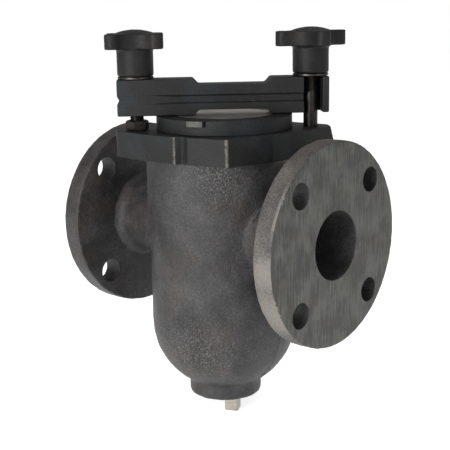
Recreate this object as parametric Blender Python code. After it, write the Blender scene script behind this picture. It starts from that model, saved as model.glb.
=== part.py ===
"""Flanged basket strainer with a quick-opening cover held by a swing yoke.

Metres, +Z up. The origin is where the pipe's centre line, along X, crosses the
axis of the cover. Flow enters at -X and leaves at +X. The yoke lies in the
vertical plane at 45 degrees between +X and +Y.
"""
from math import acos, asin, cos, pi, radians, sin, sqrt, tan

import bmesh
import bpy
from mathutils import Matrix, Vector

MM = 0.001

# Fits
GAP = 0.3 * MM                   # between pieces that touch or are screwed together
SWING_PLAY = 0.8 * MM            # yoke around its pivot stud, and washers around studs

# Pipe flanges, 2 inch class 125
FACE_TO_FACE = 212.7 * MM
FLANGE_OD = 152.4 * MM
FLANGE_THICK = 15.9 * MM
FLANGE_CHAMFER = 0.8 * MM
PIPE_BORE = 50.8 * MM
BOLT_EDGE = 15.875 * MM          # from a bolt hole's centre to the flange's edge
BOLT_HOLE = 19.05 * MM
BOLT_COUNT = 4
NECK_WALL = 5.6 * MM
NECK_FILLET = 6.0 * MM

# Cover and gasket
COVER_OD = 105.0 * MM
COVER_THICK = 10.9 * MM
COVER_CHAMFER = 0.8 * MM
SEAT_LAND = 6.5 * MM             # width of the face that the cover sits on
REGISTER_FIT = 0.6 * MM          # cover's register inside the mouth
REGISTER_DEPTH = 6.0 * MM
REGISTER_WALL = 9.0 * MM
GASKET_INSET = 2.1 * MM          # from the cover's edge to the gasket
GASKET_WIDTH = 3.0 * MM
GASKET_THICK = 1.9 * MM
TAB_ANGLE = radians(-71.5)
TAB_WIDTH = 14.0 * MM
TAB_OVERHANG = 3.5 * MM
TAB_THICK = 4.3 * MM
TAB_SET_DOWN = 0.1 * MM          # tab's top below the cover's machined top

# Pot
POT_WALL = 8.0 * MM
POT_X = -3.0 * MM                # the cast pot sits off the middle, toward the inlet
POT_ROUND_Z = -75.0 * MM         # centre of the round bottom
POT_STEP_Z = 12.0 * MM           # above this line the pot is slightly fatter
POT_STEP = 0.6 * MM
BOSS_OD = 58.0 * MM
BOSS_DROP = 4.7 * MM             # boss below the pot's lowest point
BOSS_ROUND = 2.5 * MM

# Lugged top flange
PLATE_TOP_Z = 78.0 * MM
PLATE_THICK = 20.0 * MM
PLATE_ROUND = 1.0 * MM
STUD_OUTSIDE_COVER = 14.7 * MM   # from the cover's edge to a stud's centre
PIVOT_LUG_TIP = 13.8 * MM        # pivot lug's corner beyond its stud, along X and Y
PIVOT_LUG_FLANK = 17.0 * MM      # pivot lug's side beyond its stud
PIVOT_LUG_BEND = 25.4 * MM       # from the stud to the slight bend in that side
PIVOT_LUG_END = 6.5 * MM         # where that side steps back, past the cover's axis
SLOT_LUG_TIP = 16.3 * MM         # slotted-end lug's tip beyond its stud, across its side
SLOT_LUG_BACK = 4.8 * MM         # and along its side
PIVOT_LUG_TAPER = 1.2 * MM       # that side runs in by this much, up to its end
LUG_STEP_RUN = 3.0 * MM          # length of the step back, and of the flat recess after it
SIDE_RECESS = 2.2 * MM           # recess between the lug's side and the plate's side
RECESS_RUN = 4.5 * MM            # length over which the recess comes back out
CORNER_CUT_X = 11.5 * MM         # front corner, cut back along X
CORNER_CUT_Y = 7.0 * MM          # and along Y
WAIST_BACK = 16.0 * MM           # where the side toward the pipe starts, short of the axis
WAIST_AHEAD = 6.0 * MM           # and where it ends, past the axis
PLATE_MARGIN = 7.6 * MM          # side of the plate outside the cover
LUG_TIP_SLOPE = 4.5 * MM         # the slotted-end lug leans out toward its foot

# Sloping basket seat inside the pot
SEAT_UNDER_BORE = 5.6 * MM       # seat below the inlet bore, at the pot's wall
SEAT_OVER_BORE = 9.6 * MM        # seat's top above the outlet bore, at the pot's wall
SEAT_THICK = 6.0 * MM

# Yoke, along its own length u (0 over the cover's centre), width v, height z
YOKE_ANGLE = radians(45.0)
YOKE_HEIGHT = 27.5 * MM
YOKE_WIDTH = 23.0 * MM
YOKE_PIVOT_END = 14.4 * MM       # from the pivot stud to the yoke's end
YOKE_SLOT_WALL = 5.1 * MM        # metal outside the slot
SLOT_PLAY_INNER = 0.95 * MM      # slot around the stud: toward the cover,
SLOT_PLAY_OUTER = 2.15 * MM      # away from it,
SLOT_PLAY_BACK = 1.45 * MM       # and behind it
SLOT_ROUND = 5.0 * MM
RELIEF_CENTRE = 6.5 * MM
RELIEF_LENGTH = 60.0 * MM
RELIEF_TOP_DEPTH = 4.5 * MM
RELIEF_UNDER_DEPTH = 4.0 * MM
RELIEF_RUN = 4.0 * MM            # length of each sloping end of a relief
RELIEF_ROUND = 3.0 * MM
GROOVE_MID = 12.1 * MM           # groove's middle above the yoke's underside
GROOVE_HEIGHT = 6.5 * MM
GROOVE_DEPTH = 2.0 * MM
GROOVE_START = 5.0 * MM          # from the pivot stud to the groove's shallow end
GROOVE_RUN = 24.0 * MM           # over which the groove deepens
NOTCH_DEPTH = 1.7 * MM
YOKE_ROUND = 1.0 * MM

# Studs, nut, washers and knobs
STUD_OD = 11.1 * MM
STUD_ENGAGE = 18.0 * MM          # length in the lug
STUD_CHAMFER = 1.0 * MM
STUD_TOP_CLEAR = 2.0 * MM        # stud tip below the end of the knob's blind hole
NUT_ACROSS = 15.9 * MM
NUT_HEIGHT = 7.2 * MM
NUT_CHAMFER = 1.2 * MM
WASHER_OD = 27.4 * MM
WASHER_THICK = 1.6 * MM
WASHER_CHAMFER = 0.3 * MM
HUB_OD = 27.8 * MM
HUB_HEIGHT = 20.4 * MM
HUB_CHAMFER = 0.8 * MM
HEAD_HEIGHT = 11.6 * MM
HEAD_ROUND = 1.6 * MM
DOME_OD = 30.4 * MM
DOME_HEIGHT = 2.8 * MM
KNOB_HOLE_ROOF = 6.0 * MM        # metal between the blind hole and the top of the dome
LOBES = 4
LOBE_REACH = 28.9 * MM
LOBE_WIDTH = 12.0 * MM
PIVOT_KNOB_TURN = radians(0.0)
SLOT_KNOB_TURN = radians(-30.0)

# Drain plug
PLUG_X = 4.4 * MM
PLUG_THREAD_OD = 17.1 * MM
PLUG_THREAD_LENGTH = 11.5 * MM
PLUG_THREAD_OUT = 4.5 * MM       # thread left showing under the boss
PLUG_SQUARE = 11.1 * MM
PLUG_SQUARE_LENGTH = 11.5 * MM
PLUG_CHAMFER = 1.0 * MM
PLUG_TURN = radians(27.0)

# Basket
RIM_CLEAR = 1.0 * MM             # rim inside the mouth, so that it lifts out
RIM_SIDE_CLEAR = 1.8 * MM        # rim inside the pot's hollow
RIM_THICK = 4.0 * MM
RIM_LEDGE = 4.0 * MM             # width of seat under the rim
SCREEN_CLEAR = 1.5 * MM          # screen inside the seat's hole
SCREEN_WALL = 1.0 * MM
RIM_LIP = 2.0 * MM               # rim's bore inside the screen's outside
BASKET_FOOT_CLEAR = 7.0 * MM     # basket above the pot's round bottom
BOTTOM_THICK = 1.2 * MM
BAIL_WIRE = 4.0 * MM
BAIL_INSET = 3.5 * MM            # bail's legs inside its eyes
BAIL_CLEAR = 2.3 * MM            # bail under the cover's register
BAIL_CORNER = 18.0 * MM
BAIL_FOOT_BEND = 3.0 * MM
EYE_THICK = 1.5 * MM
EYE_WIDTH = 10.0 * MM
EYE_CORNER = 4.9 * MM            # rounding of the eye's top corners
EYE_HOLE_UP = 7.0 * MM           # hole's centre above the rim
EYE_HEIGHT = 12.0 * MM

# How finely round shapes are cut
FINE = 56
MEDIUM = 40
COARSE = 24

# Worked out from the sizes above
FACE_X = FACE_TO_FACE / 2
FLANGE_BACK_X = FACE_X - FLANGE_THICK
BOLT_RING_R = FLANGE_OD / 2 - BOLT_EDGE
NECK_R = PIPE_BORE / 2 + NECK_WALL
COVER_R = COVER_OD / 2
MOUTH_R = COVER_R - SEAT_LAND
RIM_R = MOUTH_R - RIM_CLEAR
CAVITY_R = RIM_R + abs(POT_X) + RIM_SIDE_CLEAR
POT_R = CAVITY_R + POT_WALL
SEAT_HOLE_R = RIM_R - RIM_LEDGE
SCREEN_R = SEAT_HOLE_R - SCREEN_CLEAR
RIM_BORE_R = SCREEN_R - RIM_LIP
POT_FOOT_Z = POT_ROUND_Z - POT_R
BOSS_Z = POT_FOOT_Z - BOSS_DROP
PLATE_FOOT_Z = PLATE_TOP_Z - PLATE_THICK
COVER_FOOT_Z = PLATE_TOP_Z + GAP
COVER_TOP_Z = COVER_FOOT_Z + COVER_THICK
HALF_STUDS = COVER_R + STUD_OUTSIDE_COVER
STUD_R = STUD_OD / 2
SLOT_IN = HALF_STUDS - STUD_R - SLOT_PLAY_INNER
SLOT_OUT = HALF_STUDS + STUD_R + SLOT_PLAY_OUTER
YOKE_FOOT_Z = COVER_TOP_Z + GAP
YOKE_TOP_Z = YOKE_FOOT_Z + YOKE_HEIGHT
WASHER_Z = YOKE_TOP_Z + GAP
HUB_Z = WASHER_Z + WASHER_THICK + GAP
HEAD_Z = HUB_Z + HUB_HEIGHT
HEAD_TOP_Z = HEAD_Z + HEAD_HEIGHT
KNOB_TOP_Z = HEAD_TOP_Z + DOME_HEIGHT
KNOB_HOLE_TOP_Z = KNOB_TOP_Z - KNOB_HOLE_ROOF
STUD_TOP_Z = KNOB_HOLE_TOP_Z - STUD_TOP_CLEAR
STUD_FOOT_Z = PLATE_TOP_Z - STUD_ENGAGE
STUD_HOLE_R = STUD_R + GAP
LOOSE_HOLE_R = STUD_R + SWING_PLAY
SLOT_XY = Vector((HALF_STUDS * cos(YOKE_ANGLE), HALF_STUDS * sin(YOKE_ANGLE)))
PIVOT_XY = -SLOT_XY
SEAT_INLET_Z = -PIPE_BORE / 2 - SEAT_UNDER_BORE
SEAT_OUTLET_Z = PIPE_BORE / 2 + SEAT_OVER_BORE
SEAT_SLOPE = (SEAT_OUTLET_Z - SEAT_INLET_Z) / (2 * CAVITY_R)
SLANT = sqrt(1 + SEAT_SLOPE ** 2)          # length along Z of a length across the seat
SEAT_MID_Z = SEAT_INLET_Z + SEAT_SLOPE * (CAVITY_R - POT_X)   # seat's top at x = 0
RIM_TOP_Z = SEAT_MID_Z + (GAP + RIM_THICK) * SLANT            # rim's top at x = 0
BASKET_DEPTH = sqrt(CAVITY_R ** 2 - (SCREEN_R + abs(POT_X)) ** 2)
BASKET_BOTTOM_Z = POT_ROUND_Z - BASKET_DEPTH + BASKET_FOOT_CLEAR
BAIL_HALF = (RIM_R + RIM_BORE_R) / 2
BAIL_TOP_Z = COVER_FOOT_Z - REGISTER_DEPTH - BAIL_CLEAR - BAIL_WIRE / 2
BEYOND = 5.0 * MM                # how far a cutter runs past what it cuts


# ---------------------------------------------------------------- shape tools

def clear_scene():
    for thing in list(bpy.data.objects):
        bpy.data.objects.remove(thing, do_unlink=True)


def material(name, colour, roughness, metallic):
    made = bpy.data.materials.new(name)
    made.use_nodes = True
    shader = made.node_tree.nodes["Principled BSDF"]
    shader.inputs["Base Color"].default_value = (*colour, 1.0)
    shader.inputs["Roughness"].default_value = roughness
    shader.inputs["Metallic"].default_value = metallic
    made.diffuse_color = (*colour, 1.0)
    return made


def add_object(name, bm, finish=None):
    """Put a bmesh into a new object, with its faces pointing out."""
    bmesh.ops.remove_doubles(bm, verts=bm.verts, dist=1e-6)
    bmesh.ops.recalc_face_normals(bm, faces=bm.faces)
    mesh = bpy.data.meshes.new(name)
    bm.to_mesh(mesh)
    bm.free()
    if finish is not None:
        mesh.materials.append(finish)
    made = bpy.data.objects.new(name, mesh)
    bpy.context.collection.objects.link(made)
    return made


def combine(base, tool, operation):
    """Join, cut or intersect base with tool by an exact Boolean, then drop the tool."""
    step = base.modifiers.new("step", 'BOOLEAN')
    step.operation = operation
    step.solver = 'EXACT'
    step.object = tool
    bpy.context.view_layer.update()
    shaped = base.evaluated_get(bpy.context.evaluated_depsgraph_get())
    mesh = bpy.data.meshes.new_from_object(shaped)
    base.modifiers.clear()
    base.data = mesh
    bpy.data.objects.remove(tool, do_unlink=True)


def finish_round(piece, angle=35.0):
    """Shade a piece smooth, with its sharp edges kept sharp."""
    piece.data.shade_smooth()
    piece.data.set_sharp_from_angle(angle=radians(angle))


def arc(centre, radius, start, end, steps):
    """Points on an arc, from the start angle to the end angle, both included."""
    turn = (end - start) / steps
    return [(centre[0] + radius * cos(start + turn * i),
             centre[1] + radius * sin(start + turn * i)) for i in range(steps + 1)]


def turned(name, profile, segments, finish=None, at=(0.0, 0.0, 0.0)):
    """Spin a profile of (radius, height) points about a vertical axis.

    An open profile starts and ends on the axis; a closed one is a ring's section.
    """
    bm = bmesh.new()
    points = [bm.verts.new((r, 0.0, z)) for r, z in profile]
    edges = [bm.edges.new(pair) for pair in zip(points, points[1:])]
    if profile[0][0] > 0 and profile[-1][0] > 0:
        edges.append(bm.edges.new((points[-1], points[0])))
    bmesh.ops.spin(bm, geom=points + edges, cent=(0, 0, 0), axis=(0, 0, 1),
                   angle=2 * pi, steps=segments, use_merge=True)
    bmesh.ops.remove_doubles(bm, verts=bm.verts, dist=1e-6)
    bmesh.ops.translate(bm, verts=bm.verts, vec=at)
    return add_object(name, bm, finish)


def prism(name, outline, low, high, finish=None, round_by=0.0):
    """Extrude an outline of (x, y) points from height low to height high."""
    bm = bmesh.new()
    foot = bm.faces.new([bm.verts.new((x, y, low)) for x, y in outline])
    raised = bmesh.ops.extrude_face_region(bm, geom=[foot])
    top = [item for item in raised["geom"] if isinstance(item, bmesh.types.BMVert)]
    bmesh.ops.translate(bm, verts=top, vec=(0, 0, high - low))
    bmesh.ops.recalc_face_normals(bm, faces=bm.faces)
    if round_by > 0:
        level = [e for e in bm.edges if abs(e.verts[0].co.z - e.verts[1].co.z) < 1e-7]
        bmesh.ops.bevel(bm, geom=level, offset=round_by, segments=2, profile=0.5,
                        affect='EDGES', clamp_overlap=True)
    return add_object(name, bm, finish)


def rod(name, radius, low, high, segments=48, at=(0.0, 0.0), chamfer=0.0, finish=None):
    """A vertical round bar."""
    profile = [(0.0, high), (radius - chamfer, high)]
    if chamfer > 0:
        profile += [(radius, high - chamfer), (radius, low + chamfer)]
        profile += [(radius - chamfer, low)]
    else:
        profile += [(radius, low)]
    profile += [(0.0, low)]
    return turned(name, profile, segments, finish, at=(at[0], at[1], 0.0))


def lay_along_x(piece):
    """Turn a piece modelled about Z so that its axis lies along X, top toward +X."""
    piece.data.transform(Matrix.Rotation(pi / 2, 4, 'Y'))


def rounded(corners, steps=4):
    """An outline through corners of (x, y, radius), each rounded by its radius."""
    outline = []
    count = len(corners)
    for i, (x, y, radius) in enumerate(corners):
        here = Vector((x, y))
        back = (Vector(corners[i - 1][:2]) - here).normalized()
        ahead = (Vector(corners[(i + 1) % count][:2]) - here).normalized()
        if radius <= 0:
            outline.append((x, y))
            continue
        half = acos(max(-1.0, min(1.0, back.dot(ahead)))) / 2
        reach = radius / tan(half)
        centre = here + (back + ahead).normalized() * (radius / sin(half))
        first = here + back * reach - centre
        turn = pi - 2 * half
        if back.x * ahead.y - back.y * ahead.x > 0:
            turn = -turn
        for k in range(steps + 1):
            part = first.copy()
            part.rotate(Matrix.Rotation(turn * k / steps, 2))
            outline.append(tuple(centre + part))
    return outline


def to_yoke_frame(piece):
    """Turn a piece modelled along X so that it lies along the yoke."""
    piece.data.transform(Matrix.Rotation(YOKE_ANGLE, 4, 'Z'))


# ----------------------------------------------------------------------- body

def plate_outline():
    """Plan of the lugged top flange, the same on both sides of the yoke's line.

    The corners, each with its rounding, run from the tip of the pivot lug, along the
    side that faces -Y, to the tip of the slotted-end lug. The other side mirrors them.
    """
    stud = HALF_STUDS * cos(YOKE_ANGLE)
    edge = COVER_R + PLATE_MARGIN
    flank = stud + PIVOT_LUG_FLANK
    recess = PIVOT_LUG_END + LUG_STEP_RUN
    side = [(-stud - PIVOT_LUG_TIP, -stud - PIVOT_LUG_TIP, 10 * MM),
            (-stud + PIVOT_LUG_BEND, -flank, 8 * MM),
            (PIVOT_LUG_END, -flank + PIVOT_LUG_TAPER, 3 * MM),
            (recess, -edge + SIDE_RECESS, 1.5 * MM),
            (recess + LUG_STEP_RUN, -edge + SIDE_RECESS, 2 * MM),
            (recess + LUG_STEP_RUN + RECESS_RUN, -edge, 3 * MM),
            (edge - CORNER_CUT_X, -edge + CORNER_CUT_Y, 3.5 * MM),
            (edge, -WAIST_BACK, 12 * MM),
            (edge, WAIST_AHEAD, 2 * MM),
            (stud + SLOT_LUG_TIP, stud + SLOT_LUG_BACK, 6 * MM)]
    mirrored = [(y, x, r) for x, y, r in reversed(side[1:])]
    return side + mirrored


def top_plate():
    plate = prism("plate", rounded(plate_outline(), steps=3), PLATE_FOOT_Z, PLATE_TOP_Z,
                  round_by=PLATE_ROUND)
    lean_from = HALF_STUDS * cos(YOKE_ANGLE)
    for vert in plate.data.vertices:
        if vert.co.x > lean_from and vert.co.y > lean_from:
            share = (vert.co.z - PLATE_TOP_Z) / PLATE_THICK   # 0 at the top, -1 at the foot
            vert.co.x -= LUG_TIP_SLOPE * share / sqrt(2)
            vert.co.y -= LUG_TIP_SLOPE * share / sqrt(2)
    return plate


def pot_outside():
    """Pot, round bottom and drain boss, as one turned shape."""
    boss_r = BOSS_OD / 2
    meet = asin(boss_r / POT_R)
    fat = POT_R + POT_STEP
    profile = [(0.0, PLATE_TOP_Z - BEYOND), (fat, PLATE_TOP_Z - BEYOND),
               (fat, POT_STEP_Z + POT_STEP), (POT_R, POT_STEP_Z)]
    profile += arc((0.0, POT_ROUND_Z), POT_R, 0.0, meet - pi / 2, 10)
    profile += arc((boss_r - BOSS_ROUND, BOSS_Z + BOSS_ROUND), BOSS_ROUND, 0.0, -pi / 2, 3)
    profile += [(0.0, BOSS_Z)]
    return turned("pot", profile, FINE, at=(POT_X, 0.0, 0.0))


def neck_and_flange(side):
    """One neck with its pipe flange; side is -1 at the inlet and +1 at the outlet."""
    flange_r = FLANGE_OD / 2
    fillet_r = NECK_R + NECK_FILLET
    profile = [(0.0, FACE_X), (flange_r - FLANGE_CHAMFER, FACE_X),
               (flange_r, FACE_X - FLANGE_CHAMFER), (flange_r, FLANGE_BACK_X + FLANGE_CHAMFER),
               (flange_r - FLANGE_CHAMFER, FLANGE_BACK_X)]
    profile += arc((fillet_r, FLANGE_BACK_X - NECK_FILLET), NECK_FILLET, pi / 2, pi, 4)
    pot_side_x = sqrt(POT_R ** 2 - NECK_R ** 2) + side * POT_X
    profile += arc((fillet_r, pot_side_x + NECK_FILLET), NECK_FILLET, pi, 1.4 * pi, 3)
    inside = CAVITY_R - 2 * BEYOND
    profile += [(profile[-1][0], inside), (0.0, inside)]
    made = turned("neck", profile, FINE)
    lay_along_x(made)
    if side < 0:
        made.data.transform(Matrix.Rotation(pi, 4, 'Z'))
    return made


def cavity():
    """The hollow of the pot, with the sloping seat left standing across it."""
    profile = [(0.0, PLATE_FOOT_Z), (CAVITY_R, PLATE_FOOT_Z)]
    profile += arc((0.0, POT_ROUND_Z), CAVITY_R, 0.0, -pi / 2, 8)
    hollow = turned("hollow", profile, MEDIUM, at=(POT_X, 0.0, 0.0))
    seat = seat_slab("seat", SEAT_THICK * SLANT, 0.0)
    combine(hollow, seat, 'DIFFERENCE')
    return hollow


def seat_slab(name, below, above, half_width=2 * CAVITY_R):
    """A slab parallel to the seat, from below the seat's top face to above it."""
    run = 2 * CAVITY_R
    low = SEAT_MID_Z - below
    high = SEAT_MID_Z + above
    rise = SEAT_SLOPE * run
    bm = bmesh.new()
    corners = [(-run, low - rise), (run, low + rise), (run, high + rise), (-run, high - rise)]
    face = bm.faces.new([bm.verts.new((x, -half_width, z)) for x, z in corners])
    grown = bmesh.ops.extrude_face_region(bm, geom=[face])
    moved = [item for item in grown["geom"] if isinstance(item, bmesh.types.BMVert)]
    bmesh.ops.translate(bm, verts=moved, vec=(0, 2 * half_width, 0))
    return add_object(name, bm)


def make_body(finish):
    body = pot_outside()
    combine(body, top_plate(), 'UNION')
    for side in (-1, 1):
        combine(body, neck_and_flange(side), 'UNION')
    combine(body, cavity(), 'DIFFERENCE')
    for side in (-1, 1):
        inner = CAVITY_R - BEYOND + side * POT_X
        bore = rod("bore", PIPE_BORE / 2, inner, FACE_X + BEYOND, segments=MEDIUM)
        lay_along_x(bore)
        if side < 0:
            bore.data.transform(Matrix.Rotation(pi, 4, 'Z'))
        combine(body, bore, 'DIFFERENCE')
        for i in range(BOLT_COUNT):
            angle = (i + 0.5) * 2 * pi / BOLT_COUNT
            hole = rod("bolt_hole", BOLT_HOLE / 2, FLANGE_BACK_X - BEYOND / 2,
                       FACE_X + BEYOND, segments=COARSE)
            lay_along_x(hole)
            hole.data.transform(Matrix.Translation((0.0, BOLT_RING_R * cos(angle),
                                                    BOLT_RING_R * sin(angle))))
            if side < 0:
                hole.data.transform(Matrix.Rotation(pi, 4, 'Z'))
            combine(body, hole, 'DIFFERENCE')
    combine(body, rod("mouth", MOUTH_R, PLATE_FOOT_Z - BEYOND, PLATE_TOP_Z + BEYOND,
                      segments=MEDIUM), 'DIFFERENCE')
    combine(body, rod("seat_hole", SEAT_HOLE_R, POT_ROUND_Z, PLATE_FOOT_Z, segments=MEDIUM),
            'DIFFERENCE')
    for place in (PIVOT_XY, SLOT_XY):
        combine(body, rod("stud_hole", STUD_HOLE_R, PLATE_FOOT_Z - BEYOND,
                          PLATE_TOP_Z + BEYOND, segments=COARSE, at=place), 'DIFFERENCE')
    combine(body, rod("drain", PLUG_THREAD_OD / 2 + GAP, BOSS_Z - BEYOND,
                      POT_ROUND_Z, segments=COARSE, at=(PLUG_X, 0.0)), 'DIFFERENCE')
    body.name = "body"
    body.data.name = "body"
    body.data.materials.clear()
    body.data.materials.append(finish)
    finish_round(body)
    return body


# ----------------------------------------------------------- cover and gasket

def make_cover(finish):
    foot = COVER_FOOT_Z
    edge = COVER_R
    register_r = MOUTH_R - REGISTER_FIT
    groove_out = edge - GASKET_INSET + GAP
    groove_in = edge - GASKET_INSET - GASKET_WIDTH - GAP
    groove_top = foot + GASKET_THICK + GAP
    profile = [(0.0, COVER_TOP_Z), (edge - COVER_CHAMFER, COVER_TOP_Z),
               (edge, COVER_TOP_Z - COVER_CHAMFER), (edge, foot), (groove_out, foot),
               (groove_out, groove_top), (groove_in, groove_top), (groove_in, foot),
               (register_r, foot), (register_r, foot - REGISTER_DEPTH),
               (register_r - REGISTER_WALL, foot - REGISTER_DEPTH),
               (register_r - REGISTER_WALL, foot), (0.0, foot)]
    cover = turned("cover", profile, FINE)
    half = TAB_WIDTH / 2
    inner = edge - TAB_WIDTH
    reach = edge + TAB_OVERHANG
    outline = rounded([(inner, -half, 0), (reach, -half, TAB_WIDTH / 10),
                       (reach, half, TAB_WIDTH / 10), (inner, half, 0)], steps=2)
    tab = prism("tab", outline, COVER_TOP_Z - TAB_THICK, COVER_TOP_Z - TAB_SET_DOWN)
    tab.data.transform(Matrix.Rotation(TAB_ANGLE, 4, 'Z'))
    combine(cover, tab, 'UNION')
    cover.data.name = "cover"
    cover.data.materials.clear()
    cover.data.materials.append(finish)
    finish_round(cover)
    return cover


def make_gasket(finish):
    foot = COVER_FOOT_Z
    outer = COVER_R - GASKET_INSET
    inner = outer - GASKET_WIDTH
    gasket = turned("cover_gasket", [(outer, foot + GASKET_THICK), (outer, foot), (inner, foot),
                                     (inner, foot + GASKET_THICK)], MEDIUM, finish)
    finish_round(gasket)
    return gasket


# ----------------------------------------------------------------------- yoke

def yoke_side_view():
    """Outline of the yoke seen from its front: (u, z) points."""
    left = -HALF_STUDS - YOKE_PIVOT_END
    right = SLOT_OUT + YOKE_SLOT_WALL
    foot = YOKE_FOOT_Z
    top = YOKE_TOP_Z
    notch = foot + GROOVE_MID
    half_notch = GROOVE_HEIGHT / 2
    near = RELIEF_CENTRE - RELIEF_LENGTH / 2
    far = RELIEF_CENTRE + RELIEF_LENGTH / 2
    under = foot + RELIEF_UNDER_DEPTH
    over = top - RELIEF_TOP_DEPTH
    ease = RELIEF_ROUND
    return [(left, foot, 0), (near, foot, ease), (near + RELIEF_RUN, under, ease),
            (far - RELIEF_RUN, under, ease), (far, foot, ease), (right, foot, 0),
            (right, top, 0), (far, top, ease), (far - RELIEF_RUN, over, ease),
            (near + RELIEF_RUN, over, ease), (near, top, ease), (left, top, 0),
            (left, notch + half_notch, 0), (left + NOTCH_DEPTH, notch, 0),
            (left, notch - half_notch, 0)]


def make_yoke(finish):
    half = YOKE_WIDTH / 2
    bm = bmesh.new()
    points = rounded(yoke_side_view(), steps=3)
    face = bm.faces.new([bm.verts.new((u, -half, z)) for u, z in points])
    grown = bmesh.ops.extrude_face_region(bm, geom=[face])
    moved = [item for item in grown["geom"] if isinstance(item, bmesh.types.BMVert)]
    bmesh.ops.translate(bm, verts=moved, vec=(0, YOKE_WIDTH, 0))
    bmesh.ops.recalc_face_normals(bm, faces=bm.faces)
    rims = [e for e in bm.edges if abs(e.verts[0].co.y - e.verts[1].co.y) < 1e-7]
    bmesh.ops.bevel(bm, geom=rims, offset=YOKE_ROUND, segments=2, profile=0.5,
                    affect='EDGES', clamp_overlap=True)
    yoke = add_object("yoke", bm, finish)

    combine(yoke, rod("pivot_hole", LOOSE_HOLE_R, YOKE_FOOT_Z - BEYOND, YOKE_TOP_Z + BEYOND,
                      segments=COARSE, at=(-HALF_STUDS, 0.0)), 'DIFFERENCE')
    slot_back = STUD_R + SLOT_PLAY_BACK
    slot = rounded([(SLOT_IN, -half - BEYOND, 0), (SLOT_OUT, -half - BEYOND, 0),
                    (SLOT_OUT, slot_back, SLOT_ROUND), (SLOT_IN, slot_back, SLOT_ROUND)])
    combine(yoke, prism("slot", slot, YOKE_FOOT_Z - BEYOND, YOKE_TOP_Z + BEYOND), 'DIFFERENCE')

    start = -HALF_STUDS + GROOVE_START
    deep = start + GROOVE_RUN
    groove_foot = YOKE_FOOT_Z + GROOVE_MID - GROOVE_HEIGHT / 2
    for side in (-1, 1):
        end = SLOT_IN + BEYOND if side < 0 else SLOT_IN - BEYOND
        outline = [(start, side * half), (deep, side * (half - GROOVE_DEPTH)),
                   (end, side * (half - GROOVE_DEPTH)), (end, side * (half + BEYOND)),
                   (start, side * (half + BEYOND))]
        combine(yoke, prism("groove", outline, groove_foot, groove_foot + GROOVE_HEIGHT),
                'DIFFERENCE')
    to_yoke_frame(yoke)
    yoke.data.name = "yoke"
    move_origin(yoke, PIVOT_XY)
    finish_round(yoke)
    return yoke


def move_origin(piece, place):
    """Put a piece's origin on a vertical axis through place, without moving its shape."""
    piece.data.transform(Matrix.Translation((-place[0], -place[1], 0.0)))
    piece.location = (place[0], place[1], 0.0)


# ------------------------------------------------ studs, nut, washers, knobs

def make_stud(name, place, finish):
    stud = rod(name, STUD_R, STUD_FOOT_Z, STUD_TOP_Z, segments=COARSE,
               chamfer=STUD_CHAMFER, finish=finish)
    stud.location = (place[0], place[1], 0.0)
    finish_round(stud)
    return stud


def make_lock_nut(finish):
    low = PLATE_TOP_Z + GAP
    corner = NUT_ACROSS / 2 / cos(pi / 6)
    outline = [(corner * cos(i * pi / 3), corner * sin(i * pi / 3)) for i in range(6)]
    nut = prism("pivot_lock_nut", outline, low, low + NUT_HEIGHT, finish)
    high = low + NUT_HEIGHT
    wide = corner + GAP
    narrow = wide - 2 * NUT_CHAMFER / tan(pi / 3)
    crown = [(0.0, high), (narrow, high), (wide, high - NUT_CHAMFER), (wide, low + NUT_CHAMFER),
             (narrow, low), (0.0, low)]
    combine(nut, turned("crown", crown, MEDIUM), 'INTERSECT')
    combine(nut, rod("nut_hole", STUD_HOLE_R, low - BEYOND, high + BEYOND, segments=COARSE),
            'DIFFERENCE')
    nut.data.name = "pivot_lock_nut"
    nut.location = (PIVOT_XY[0], PIVOT_XY[1], 0.0)
    finish_round(nut)
    return nut


def make_washer(name, place, finish):
    low = WASHER_Z
    high = low + WASHER_THICK
    outer = WASHER_OD / 2
    ease = WASHER_CHAMFER
    washer = turned(name, [(LOOSE_HOLE_R, high), (outer - ease, high), (outer, high - ease),
                           (outer, low + ease), (outer - ease, low), (LOOSE_HOLE_R, low)],
                    COARSE, finish)
    washer.location = (place[0], place[1], 0.0)
    finish_round(washer)
    return washer


def lobe_outline():
    """Plan of a knob's head: round lobes joined by hollow sweeps."""
    lobe_r = LOBE_WIDTH / 2
    reach = LOBE_REACH - lobe_r
    sector = 2 * pi / LOBES
    sweep_at = Vector((reach, reach * tan(sector / 2)))
    sweep_r = sweep_at.y - lobe_r
    points = []
    for i in range(LOBES):
        one = arc((reach, 0.0), lobe_r, -pi / 2, pi / 2, 6)
        one += arc(sweep_at, sweep_r, -pi / 2, -pi / 2 - (pi - sector), 6)[1:-1]
        back = Matrix.Rotation(i * sector, 2)
        for x, y in one:
            spot = Vector((x, y))
            spot.rotate(back)
            points.append(tuple(spot))
    return points


def make_knob(name, place, turn, finish):
    hub_r = HUB_OD / 2
    ease = HUB_CHAMFER
    dome_edge = DOME_OD / 2
    knob = prism(name, lobe_outline(), HEAD_Z, HEAD_TOP_Z, finish, round_by=HEAD_ROUND)
    dome_r = (dome_edge ** 2 + DOME_HEIGHT ** 2) / (2 * DOME_HEIGHT)
    core = arc((0.0, KNOB_TOP_Z - dome_r), dome_r, pi / 2, pi / 2 - asin(dome_edge / dome_r), 4)
    core[0] = (0.0, KNOB_TOP_Z)
    core += [(dome_edge, HEAD_Z + ease), (hub_r, HEAD_Z - 2 * ease), (hub_r, HUB_Z + ease),
             (hub_r - ease, HUB_Z), (0.0, HUB_Z)]
    combine(knob, turned("core", core, 32), 'UNION')
    combine(knob, rod("knob_hole", STUD_HOLE_R, HUB_Z - BEYOND, KNOB_HOLE_TOP_Z,
                      segments=COARSE), 'DIFFERENCE')
    knob.data.transform(Matrix.Rotation(turn, 4, 'Z'))
    knob.data.name = name
    knob.data.materials.clear()
    knob.data.materials.append(finish)
    knob.location = (place[0], place[1], 0.0)
    finish_round(knob)
    return knob


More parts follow.
